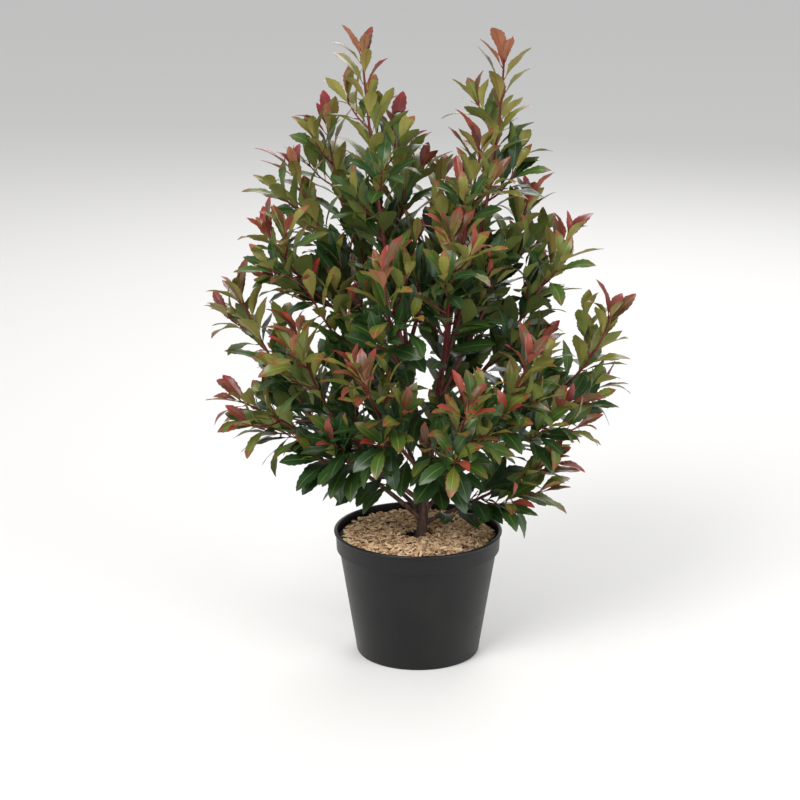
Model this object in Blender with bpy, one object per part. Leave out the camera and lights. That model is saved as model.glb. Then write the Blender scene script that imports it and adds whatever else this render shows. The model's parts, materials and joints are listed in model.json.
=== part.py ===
"""Potted red tip photinia, a young shrub with many stems in a black nursery pot.

Metres, +Z up. The origin is the middle of the pot's flat underside, and the shrub's
fullest view looks along +Y. Each bough and each mass of leaves is its own object.
"""

import itertools
import math
import random
from dataclasses import dataclass

import bmesh
import bpy
import numpy as np
from mathutils.bvhtree import BVHTree

# Driving sizes of the pot

POT_HEIGHT = 0.152
RIM_RADIUS = 0.100
FOOT_RADIUS = 0.073
BODY_TOP_RADIUS = 0.0935
WALL = 0.0018
BAND_HEIGHT = 0.024
BAND_DRAFT = 0.001
LIP_RADIUS = 0.0021
BASE_DISC_RADIUS = 0.022
BASE_CHANNEL_OUT = 0.061
BASE_CHANNEL_RISE = 0.003
DRAIN_RING_RADIUS = 0.043
DRAIN_RADIUS = 0.0048
DRAIN_COUNT = 8
DRAIN_SIDES = 8
DRAIN_CUT_BELOW = 0.01
DRAIN_CUT_ABOVE = 0.02
LIP_TURNS = (-50, 20, 90, 160)
POT_STEPS = 32
SHARP_ANGLE = math.radians(30)

# Driving sizes of what fills the pot

GAP = 0.0003
SOIL_TOP = POT_HEIGHT - 0.021
SOIL_MOUND = 0.004
MULCH_EDGE_TOP = POT_HEIGHT - 0.007
MULCH_DOME = 0.0035
MULCH_LUMP = 0.0016
MULCH_INNER_DROP = 0.003
MULCH_WAVES = ((3, 40), (5, -70))
HOLLOW_RADIUS = 0.017
MULCH_STEPS = 30
MULCH_RINGS = 5

# Driving sizes of the stems

STEM_FOOT = (0.004, 0.0, SOIL_TOP + SOIL_MOUND + GAP)
STEM_FORK = (0.012, 0.0, 0.239)
STEM_RADIUS = 0.0062
FORK_RADIUS = 0.0052
FLARE_RADIUS = 0.0100
FLARE_FADE = 0.0073
MAIN_STEM_BEND = (-0.0015, 0.001, 0.0)
MAIN_STEM_RINGS = (0.0, 0.03, 0.08, 0.15, 0.3, 0.45, 0.6, 0.75, 0.9, 1.0)
TIP_RADIUS = 0.0011
TIP_LEAF_REACH = 0.024
TRUNK_SIDES = 12
LEADER_SIDES = 8
BOUGH_SIDES = 6
SPRIG_SIDES = 5
TWIG_SIDES = 3
RING_STEP = 0.028
SPRIG_RING_STEP = 0.036
SAMPLE_STEP = 0.004
TANGENT_SHARE = 0.02
LEADERS = ("tall_left", "upright_right")
CUT_SWELL = 1.2 * GAP
NEAR_BOUGHS = 0.009

# Driving sizes of the leaves

LEAF_LENGTH = 0.062
LEAF_WIDTH = 0.025
LEAF_WIDEST = 0.58
PETIOLE_LENGTH = 0.0055
LEAF_FOLD = math.radians(24)
LEAF_ROOT_SHARE = 0.36
LEAF_STEP = 0.0148
TWIG_EVERY = 4
TWIG_LENGTH = 0.048
TWIG_RADIUS = 0.0018
TWIG_RINGS = 4
TWIG_LEAVES = 4.4
STEM_TURN = math.radians(144)
TWIG_TURN = math.radians(120)
SPACE_MARGIN = 0.0008
LIMB_CLEAR = 0.0012
LOWEST_LEAF = POT_HEIGHT + 0.006

# How leaves and twigs stand on what carries them

FEWEST_NODES = 6
HIGHEST_TWIG = 0.72
STEM_LEAF_LEAN = math.radians(62)
STEM_LEAN_LOST = math.radians(24)
STEM_LEAN_CHANCE = math.radians(7)
STEM_SIZE_LOST = 0.22
STEM_SIZE_CHANCE = 0.08
TIP_LEAVES = 3
TIP_LEAF_LEAN = math.radians(24)
TIP_LEAN_STEP = math.radians(6)
TIP_LEAF_SIZE = 0.72
TIP_SIZE_STEP = 0.05
TIP_LEAF_DROP = 0.002
TIP_DROP_STEP = 0.003
FEWEST_TWIG_LEAVES = 3
TWIG_LEAVES_FROM = 0.34
TWIG_LEAVES_TO = 0.96
TWIG_LEAF_LEAN = math.radians(58)
TWIG_LEAN_LOST = math.radians(26)
TWIG_LEAN_CHANCE = math.radians(6)
TWIG_LEAF_SIZE = 0.92
TWIG_SIZE_LOST = 0.16
TWIG_LENGTH_LOST = 0.5
SIZES_TRIED = (1.0, 0.86, 0.74)
SWINGS_TRIED = (0.0, 0.35, -0.35, 0.8, -0.8)
RAISES_TRIED = (0.0, 0.25)
TWIG_SIZES_TRIED = (1.0, 0.75, 0.55)
TWIG_SWINGS_TRIED = (0.0, 0.4, -0.4, 0.9, -0.9)
TOWARD_LIGHT = np.array([0.0, 0.0, 0.12])
UP = np.array([0.0, 0.0, 1.0])


@dataclass(frozen=True)
class Shoot:
    """One bough and the leafy mass that it carries.

    The axis leaves its parent at a share of the parent's length and runs to the tip. It
    bends at a point that lies a share of the way out and a share of the way up. Its lower
    share is bare.
    """

    name: str
    parent: str
    leaves_at: float
    tip: tuple
    out: float
    up: float
    bare: float
    foot_radius: float


SHOOTS = (
    Shoot("tall_left", "main_stem", 0.95, (-0.066, 0.010, 0.735), 0.66, 0.40, 0.34, 0.0043),
    Shoot("upright_right", "main_stem", 0.95, (0.074, -0.020, 0.634), 0.42, 0.50, 0.40, 0.0043),
    Shoot("tall_right", "upright_right", 0.30, (0.098, 0.030, 0.728), 0.86, 0.46, 0.20, 0.0031),
    Shoot("front_centre", "upright_right", 0.28, (0.036, -0.090, 0.548), 0.80, 0.40, 0.30, 0.0028),
    Shoot("right_back", "upright_right", 0.20, (0.136, 0.070, 0.556), 0.62, 0.48, 0.28, 0.0029),
    Shoot("right_high", "upright_right", 0.11, (0.184, 0.025, 0.520), 0.56, 0.40, 0.34, 0.0031),
    Shoot("centre_back", "tall_left", 0.16, (-0.028, 0.070, 0.640), 0.90, 0.42, 0.30, 0.0030),
    Shoot("left_front", "tall_left", 0.10, (-0.135, -0.050, 0.474), 0.62, 0.42, 0.32, 0.0028),
    Shoot("left_high", "tall_left", 0.22, (-0.152, 0.050, 0.596), 0.62, 0.46, 0.30, 0.0031),
    Shoot("left_outer", "left_high", 0.20, (-0.182, -0.025, 0.532), 0.62, 0.36, 0.30, 0.0025),
    Shoot("left_back", "tall_left", 0.31, (-0.109, 0.095, 0.640), 0.80, 0.40, 0.22, 0.0026),
    Shoot("far_right", "main_stem", 0.84, (0.226, -0.010, 0.436), 0.88, 0.44, 0.40, 0.0032),
    Shoot("right_front", "main_stem", 0.50, (0.130, -0.115, 0.408), 0.62, 0.40, 0.36, 0.0031),
    Shoot("right_spur", "right_front", 0.26, (0.182, -0.070, 0.335), 0.60, 0.42, 0.30, 0.0022),
    Shoot("low_right", "main_stem", 0.22, (0.166, -0.050, 0.262), 0.56, 0.47, 0.34, 0.0026),
    Shoot("far_left", "low_left", 0.34, (-0.216, 0.010, 0.456), 0.64, 0.40, 0.26, 0.0025),
    Shoot("left_middle", "main_stem", 0.46, (-0.140, -0.080, 0.435), 0.85, 0.46, 0.34, 0.0031),
    Shoot("low_left", "main_stem", 0.26, (-0.226, -0.050, 0.334), 0.45, 0.60, 0.44, 0.0031),
    Shoot("inner_spur", "main_stem", 0.72, (0.066, -0.066, 0.335), 0.62, 0.42, 0.30, 0.0023),
    Shoot("rear_left", "main_stem", 0.62, (-0.080, 0.190, 0.440), 0.66, 0.44, 0.34, 0.0030),
    Shoot("rear_right", "main_stem", 0.72, (0.060, 0.205, 0.470), 0.66, 0.44, 0.34, 0.0031),
    Shoot("rear_low_right", "main_stem", 0.36, (0.165, 0.145, 0.355), 0.66, 0.46, 0.34, 0.0028),
    Shoot("rear_low_left", "main_stem", 0.34, (-0.168, 0.138, 0.350), 0.66, 0.46, 0.34, 0.0028),
    Shoot("rear_upright", "tall_left", 0.26, (0.030, 0.135, 0.575), 0.80, 0.44, 0.26, 0.0029),
    Shoot("front_left", "main_stem", 0.80, (-0.065, -0.170, 0.395), 0.66, 0.46, 0.34, 0.0028),
    Shoot("front_right", "main_stem", 0.62, (0.055, -0.185, 0.365), 0.66, 0.46, 0.34, 0.0028),
    Shoot("front_high", "tall_left", 0.24, (-0.040, -0.115, 0.505), 0.80, 0.42, 0.30, 0.0026),
)


class Axis:
    """A smooth line through space, sampled evenly, with a radius that tapers along it."""

    def __init__(self, points, foot_radius, tip_radius):
        steps = np.linalg.norm(np.diff(points, axis=0), axis=1)
        along = np.concatenate(([0.0], np.cumsum(steps)))
        self.length = float(along[-1])
        count = max(8, int(self.length / SAMPLE_STEP))
        even = np.linspace(0.0, self.length, count + 1)
        self.points = np.column_stack([np.interp(even, along, points[:, k]) for k in range(3)])
        self.shares = even / self.length
        self.foot_radius = foot_radius
        self.tip_radius = tip_radius
        self.sides = self.carried_sides()

    def carried_sides(self):
        """A unit vector square to the line at each sample, carried along without a twist."""
        side = any_square_to(self.direction(0.0))
        sides = []
        for share in self.shares:
            direction = self.direction(share)
            side = unit(side - direction * np.dot(side, direction))
            sides.append(side)
        return np.array(sides)

    def side(self, share):
        blend = np.array([np.interp(share, self.shares, self.sides[:, k]) for k in range(3)])
        direction = self.direction(share)
        return unit(blend - direction * np.dot(blend, direction))

    def at(self, share):
        return np.array([np.interp(share, self.shares, self.points[:, k]) for k in range(3)])

    def direction(self, share):
        low = max(0.0, share - TANGENT_SHARE)
        high = min(1.0, share + TANGENT_SHARE)
        return unit(self.at(high) - self.at(low))

    def radius(self, share):
        return self.tip_radius + (self.foot_radius - self.tip_radius) * (1.0 - share)


def unit(vector):
    return vector / max(np.linalg.norm(vector), 1e-12)


def turned(vector, about, angle):
    """The vector turned round a unit axis."""
    along = about * np.dot(about, vector)
    across = vector - along
    return along + across * math.cos(angle) + np.cross(about, across) * math.sin(angle)


def any_square_to(direction):
    """A unit vector square to the direction, the same one for nearby directions."""
    helper = np.array([0.0, -1.0, 0.0]) if abs(direction[1]) < 0.9 else np.array([1.0, 0.0, 0.0])
    return unit(np.cross(direction, helper))


def bezier(start, middle, end, count=60):
    t = np.linspace(0.0, 1.0, count)[:, None]
    return (1 - t) ** 2 * start + 2 * t * (1 - t) * middle + t**2 * end


def shoot_axis(shoot, axes):
    """The line of a shoot, from its parent's axis to where its last leaves start."""
    start = axes[shoot.parent].at(shoot.leaves_at)
    tip = np.array(shoot.tip)
    middle = start + (tip - start) * np.array([shoot.out, shoot.out, shoot.up])
    tip = tip - unit(tip - middle) * TIP_LEAF_REACH
    return Axis(bezier(start, middle, tip), shoot.foot_radius, TIP_RADIUS)


def all_axes():
    """The axes of the main stem and of every shoot, parents first."""
    foot, fork = np.array(STEM_FOOT), np.array(STEM_FORK)
    middle = (foot + fork) / 2 + np.array(MAIN_STEM_BEND)
    axes = {"main_stem": Axis(bezier(foot, middle, fork), STEM_RADIUS, FORK_RADIUS)}
    waiting = list(SHOOTS)
    while waiting:
        shoot = waiting.pop(0)
        if shoot.parent in axes:
            axes[shoot.name] = shoot_axis(shoot, axes)
        else:
            waiting.append(shoot)
    return axes


# Meshes


def tube(centres, radii, sides, first_side=None):
    """Points and faces of a closed tube with flat ends, its rings square to the line."""
    centres = np.asarray(centres)
    directions = np.gradient(centres, axis=0)
    side = any_square_to(unit(directions[0])) if first_side is None else first_side
    rings = []
    for centre, direction, radius in zip(centres, directions, radii):
        direction = unit(direction)
        side = unit(side - direction * np.dot(side, direction))
        other = np.cross(direction, side)
        angles = np.arange(sides) * (2 * math.pi / sides)
        ring = centre + radius * (np.outer(np.cos(angles), side) + np.outer(np.sin(angles), other))
        rings.append(ring)
    points = np.concatenate(rings)
    faces = [tuple(reversed(range(sides)))]
    for ring in range(len(rings) - 1):
        low, high = ring * sides, (ring + 1) * sides
        for k in range(sides):
            following = (k + 1) % sides
            faces.append((low + k, low + following, high + following, high + k))
    last = (len(rings) - 1) * sides
    faces.append(tuple(range(last, last + sides)))
    return points, faces


def limb(axis, low, high, sides, swell=0.0, step=RING_STEP):
    """A tapering tube along a stretch of an axis."""
    rings = max(2, round((high - low) * axis.length / step) + 1)
    shares = np.linspace(low, high, rings)
    centres = [axis.at(share) for share in shares]
    radii = [axis.radius(share) + swell for share in shares]
    return tube(centres, radii, sides, axis.side(low))


def leaf(root, along, face, length, radius):
    """A folded kite on a three-sided stalk whose root is sunk in the twig."""
    across = unit(np.cross(along, face))
    upward = np.cross(across, along)
    half = LEAF_WIDTH / LEAF_LENGTH * length / 2
    thick = LEAF_ROOT_SHARE * min(radius, TWIG_RADIUS)
    corners = (0.6 * upward - across, 0.6 * upward + across, -1.2 * upward)
    neck = root + along * (PETIOLE_LENGTH + radius)
    wide = root + along * (LEAF_WIDEST * length) + upward * (half * math.sin(LEAF_FOLD))
    spread = across * (half * math.cos(LEAF_FOLD))
    points = [root + corner * thick for corner in corners]
    points += [neck + corner * thick for corner in corners]
    points += [wide - spread, wide + spread, root + along * length]
    stalk = [(0, 1, 2), (0, 2, 5, 3), (2, 1, 4, 5), (1, 0, 3, 4)]
    blade = [(3, 8, 4), (3, 6, 8), (4, 8, 7), (3, 5, 6), (5, 8, 6), (5, 7, 8), (5, 4, 7)]
    return np.array(points), stalk + blade


def tree_of(points, faces):
    return BVHTree.FromPolygons([tuple(point) for point in points], faces)


def make_object(name, points, faces, material=None):
    mesh = bpy.data.meshes.new(name)
    mesh.from_pydata([tuple(map(float, point)) for point in points], [], faces)
    mesh.update()
    made = bpy.data.objects.new(name, mesh)
    bpy.context.scene.collection.objects.link(made)
    if material is not None:
        mesh.materials.append(material)
    return made


def plain_material(name, colour, roughness):
    material = bpy.data.materials.new(name)
    material.use_nodes = True
    shader = material.node_tree.nodes["Principled BSDF"]
    shader.inputs["Base Color"].default_value = (*colour, 1.0)
    shader.inputs["Roughness"].default_value = roughness
    shader.inputs["Metallic"].default_value = 0.0
    return material


def bake_modifiers(target):
    """Replaces the object's mesh by what its modifiers make of it."""
    bpy.context.view_layer.update()
    graph = bpy.context.evaluated_depsgraph_get()
    done = bpy.data.meshes.new_from_object(target.evaluated_get(graph))
    old = target.data
    target.modifiers.clear()
    target.data = done
    done.name = old.name
    bpy.data.meshes.remove(old)


def keep_largest_body(target):
    """Drops the loose scraps that a cut may leave."""
    shape = bmesh.new()
    shape.from_mesh(target.data)
    left = set(shape.verts)
    bodies = []
    while left:
        first = left.pop()
        body, edge = {first}, [first]
        while edge:
            for link in edge.pop().link_edges:
                for vert in link.verts:
                    if vert not in body:
                        body.add(vert)
                        edge.append(vert)
        left -= body
        bodies.append(body)
    largest = max(bodies, key=len)
    scraps = [vert for body in bodies if body is not largest for vert in body]
    bmesh.ops.delete(shape, geom=scraps, context="VERTS")
    shape.to_mesh(target.data)
    shape.free()


def combine(target, others, operation):
    """Joins the others to the target, or cuts them out of it, in one Boolean."""
    group = bpy.data.collections.new(target.name + "_tools")
    bpy.context.scene.collection.children.link(group)
    for other in others:
        group.objects.link(other)
        bpy.context.scene.collection.objects.unlink(other)
    change = target.modifiers.new("combine", "BOOLEAN")
    change.operation = operation
    change.operand_type = "COLLECTION"
    change.collection = group
    change.solver = "EXACT"
    change.use_self = False
    bake_modifiers(target)
    for other in others:
        old = other.data
        bpy.data.objects.remove(other)
        bpy.data.meshes.remove(old)
    bpy.data.collections.remove(group)
    keep_largest_body(target)


# The pot and what fills it


def lathe(name, profile, steps, material):
    """Turns an outline of (radius, height) points round the Z axis."""
    shape = bmesh.new()
    verts = [shape.verts.new((radius, 0.0, height)) for radius, height in profile]
    edges = [shape.edges.new(pair) for pair in zip(verts, verts[1:])]
    bmesh.ops.spin(
        shape,
        geom=verts + edges,
        cent=(0, 0, 0),
        axis=(0, 0, 1),
        angle=2 * math.pi,
        steps=steps,
        use_merge=True,
    )
    bmesh.ops.remove_doubles(shape, verts=shape.verts, dist=1e-6)
    bmesh.ops.recalc_face_normals(shape, faces=shape.faces)
    mesh = bpy.data.meshes.new(name)
    shape.to_mesh(mesh)
    shape.free()
    mesh.materials.append(material)
    mesh.shade_smooth()
    mesh.set_sharp_from_angle(angle=SHARP_ANGLE)
    made = bpy.data.objects.new(name, mesh)
    bpy.context.scene.collection.objects.link(made)
    return made


def inner_floor():
    """The inside of the pot's base, from its middle out, with the raised drain channel."""
    low = WALL
    high = BASE_CHANNEL_RISE + WALL
    slope = BASE_CHANNEL_RISE
    return [
        (0.0, low),
        (BASE_DISC_RADIUS - WALL / 2, low),
        (BASE_DISC_RADIUS - WALL / 2 + slope, high),
        (BASE_CHANNEL_OUT + WALL / 2, high),
        (BASE_CHANNEL_OUT + WALL / 2 + slope, low),
    ]


def wall_radius(height):
    """The outer radius of the tapering body."""
    return FOOT_RADIUS + (BODY_TOP_RADIUS - FOOT_RADIUS) * height / (POT_HEIGHT - BAND_HEIGHT)


def pot_profile():
    """The pot's section: underside, body, band, rolled lip, then down the inside."""
    band_low = POT_HEIGHT - BAND_HEIGHT
    band_radius = RIM_RADIUS - LIP_RADIUS
    slope = BASE_CHANNEL_RISE
    profile = [
        (0.0, 0.0),
        (BASE_DISC_RADIUS, 0.0),
        (BASE_DISC_RADIUS + slope, BASE_CHANNEL_RISE),
        (BASE_CHANNEL_OUT, BASE_CHANNEL_RISE),
        (BASE_CHANNEL_OUT + slope, 0.0),
        (FOOT_RADIUS - WALL, 0.0),
        (wall_radius(WALL), WALL),
        (BODY_TOP_RADIUS, band_low),
        (band_radius - BAND_DRAFT, band_low),
        (band_radius, POT_HEIGHT - 2 * LIP_RADIUS),
    ]
    middle = (RIM_RADIUS - LIP_RADIUS, POT_HEIGHT - LIP_RADIUS)
    for degrees in LIP_TURNS:
        turn = math.radians(degrees)
        profile.append((middle[0] + LIP_RADIUS * math.cos(turn), middle[1] + LIP_RADIUS * math.sin(turn)))
    profile.append((band_radius - BAND_DRAFT - WALL, band_low + WALL))
    profile.append((BODY_TOP_RADIUS - WALL, band_low - WALL))
    profile.append((wall_radius(2 * WALL) - WALL, 2 * WALL))
    profile.extend(reversed(inner_floor()))
    return profile


def make_pot():
    plastic = plain_material("black_plastic", (0.012, 0.012, 0.013), 0.5)
    pot = lathe("pot", pot_profile(), POT_STEPS, plastic)
    holes = []
    for k in range(DRAIN_COUNT):
        angle = 2 * math.pi * (k + 0.5) / DRAIN_COUNT
        middle = DRAIN_RING_RADIUS * np.array([math.cos(angle), math.sin(angle), 0.0])
        ends = [middle - UP * DRAIN_CUT_BELOW, middle + UP * DRAIN_CUT_ABOVE]
        holes.append(make_object("drain_hole", *tube(ends, [DRAIN_RADIUS] * 2, DRAIN_SIDES)))
    combine(pot, holes, "DIFFERENCE")


def make_potting_mix():
    """The mix fills the pot 0.3 mm clear of it and rises a little round the main stem."""
    soil = plain_material("dark_potting_mix", (0.030, 0.020, 0.014), 0.95)
    band_low = POT_HEIGHT - BAND_HEIGHT
    floor = BASE_CHANNEL_RISE + WALL + GAP
    profile = [(0.0, floor), (wall_radius(floor) - WALL - 2 * GAP, floor)]
    profile.append((BODY_TOP_RADIUS - WALL - 2 * GAP, band_low - WALL))
    profile.append((BODY_TOP_RADIUS - WALL - GAP, SOIL_TOP))
    profile.append((HOLLOW_RADIUS + SOIL_MOUND, SOIL_TOP))
    profile.append((HOLLOW_RADIUS - SOIL_MOUND, SOIL_TOP + SOIL_MOUND))
    profile.append((0.0, SOIL_TOP + SOIL_MOUND))
    lathe("potting_mix", profile, POT_STEPS, soil)


def mulch_height(radius, angle, lump):
    """The lumpy top of the chips: a low dome that falls into a hollow round the stem."""
    outer = RIM_RADIUS - 2 * LIP_RADIUS
    share = min(1.0, (radius - HOLLOW_RADIUS) / (outer - HOLLOW_RADIUS))
    dome = MULCH_DOME * math.sin(math.pi * (1 + 3 * share) / 4)
    (first_turns, first_out), (second_turns, second_out) = MULCH_WAVES
    waves = math.sin(first_turns * angle + first_out * radius)
    waves *= math.cos(second_turns * angle + second_out * radius)
    return MULCH_EDGE_TOP + dome + MULCH_LUMP * (waves + lump) / 2


def make_mulch():
    """One lumpy ring of wood chips on the potting mix, open round the main stem."""
    chips = plain_material("pale_wood_chips", (0.50, 0.36, 0.22), 0.9)
    rng = random.Random(4)
    outer = RIM_RADIUS - 2 * LIP_RADIUS - WALL / 2
    floor = SOIL_TOP + GAP
    points, faces = [], []
    radii = np.linspace(HOLLOW_RADIUS + SOIL_MOUND + GAP, outer, MULCH_RINGS)
    for radius in radii:
        for k in range(MULCH_STEPS):
            angle = 2 * math.pi * k / MULCH_STEPS
            height = mulch_height(radius, angle, rng.uniform(-1, 1))
            if radius == radii[0]:
                height -= MULCH_INNER_DROP
            points.append((radius * math.cos(angle), radius * math.sin(angle), height))
    low_outer = BODY_TOP_RADIUS - WALL - GAP
    for radius in (radii[0], low_outer):
        for k in range(MULCH_STEPS):
            angle = 2 * math.pi * k / MULCH_STEPS
            points.append((radius * math.cos(angle), radius * math.sin(angle), floor))

    def band(first, second):
        for k in range(MULCH_STEPS):
            following = (k + 1) % MULCH_STEPS
            a, b = first * MULCH_STEPS + k, first * MULCH_STEPS + following
            c, d = second * MULCH_STEPS + following, second * MULCH_STEPS + k
            faces.append((a, d, c, b))

    for ring in range(MULCH_RINGS - 1):
        band(ring, ring + 1)
    band(MULCH_RINGS - 1, MULCH_RINGS + 1)
    band(MULCH_RINGS + 1, MULCH_RINGS)
    band(MULCH_RINGS, 0)
    make_object("wood_chip_mulch", points, faces, chips)


# The stems


def main_stem_tube(axis, swell=0.0):
    """The main stem, flared at its flat foot and tapering to the fork."""
    centres = [axis.at(share) for share in MAIN_STEM_RINGS]
    radii = []
    for share in MAIN_STEM_RINGS:
        flare = (FLARE_RADIUS - STEM_RADIUS) * math.exp(-share * axis.length / FLARE_FADE)
        radii.append(axis.radius(share) + flare + swell)
    points, faces = tube(centres, radii, TRUNK_SIDES)
    points[:TRUNK_SIDES, 2] = STEM_FOOT[2]
    return points, faces


def bough_tube(shoot, axes, swell=0.0):
    """The bare lower stretch of a shoot."""
    sides = LEADER_SIDES if shoot.name in LEADERS else BOUGH_SIDES
    return limb(axes[shoot.name], 0.0, shoot.bare, sides, swell)


def make_limbs(axes, bark):
    """The main stem and the boughs. Each bough is cut 0.3 mm clear of what carries it."""
    make_object("main_stem", *main_stem_tube(axes["main_stem"]), bark)
    done = []
    for shoot in sorted(SHOOTS, key=lambda s: s.parent != "main_stem"):
        bough = make_object("bough_" + shoot.name, *bough_tube(shoot, axes), bark)
        if shoot.parent == "main_stem":
            cuts = [main_stem_tube(axes["main_stem"], CUT_SWELL)]
        else:
            cuts = [bough_tube(parent, axes, CUT_SWELL) for parent in done if parent.name == shoot.parent]
        for elder in done:
            if elder.parent == shoot.parent and near(axes[elder.name], axes[shoot.name]):
                cuts.append(bough_tube(elder, axes, CUT_SWELL))
        combine(bough, [make_object("cutter", *cut) for cut in cuts], "DIFFERENCE")
        done.append(shoot)


def near(first, second):
    """Whether two boughs come near each other past the surface that they leave."""
    a, b = first.points, second.points
    gaps = np.linalg.norm(a[:, None] - b[None], axis=2)
    return bool((gaps[2:, 2:] < NEAR_BOUGHS).any())


# The leafy masses


class Room:
    """The space of each mass: the points nearer to its stem than to any other's."""

    def __init__(self, axes):
        stems, owners, limbs, radii = [], [], [], []
        trunk = axes["main_stem"]
        limbs.append(trunk.points)
        radii.append(np.full(len(trunk.points), STEM_RADIUS))
        for index, shoot in enumerate(SHOOTS):
            axis = axes[shoot.name]
            leafy = axis.shares >= shoot.bare
            stems.append(axis.points[leafy])
            owners.append(np.full(leafy.sum(), index))
            limbs.append(axis.points[~leafy])
            radii.append(np.array([axis.radius(s) for s in axis.shares[~leafy]]))
        self.stems = np.concatenate(stems)
        self.owners = np.concatenate(owners)
        self.limbs = np.concatenate(limbs)
        self.limb_radii = np.concatenate(radii)

    def holds(self, points, owner):
        """Whether the points keep to the owner's space and clear of every limb."""
        if points[:, 2].min() < LOWEST_LEAF:
            return False
        gaps = np.linalg.norm(points[:, None] - self.stems[None], axis=2)
        own = gaps[:, self.owners == owner].min(axis=1)
        others = gaps[:, self.owners != owner].min(axis=1)
        if (own + SPACE_MARGIN > others - SPACE_MARGIN).any():
            return False
        to_limbs = np.linalg.norm(points[:, None] - self.limbs[None], axis=2) - self.limb_radii
        return bool(to_limbs.min() > LIMB_CLEAR)


def outline_points(points):
    """A leaf's neck and corners, and points along its edges and its midrib."""
    neck = points[3:6].mean(axis=0)
    left, right, tip = points[6], points[7], points[8]
    spots = [neck, left, right, tip]
    spots += [(left + tip) / 2, (right + tip) / 2, (neck + tip) / 2]
    spots += [(neck + left) / 2, (neck + right) / 2]
    return np.array(spots)


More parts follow.
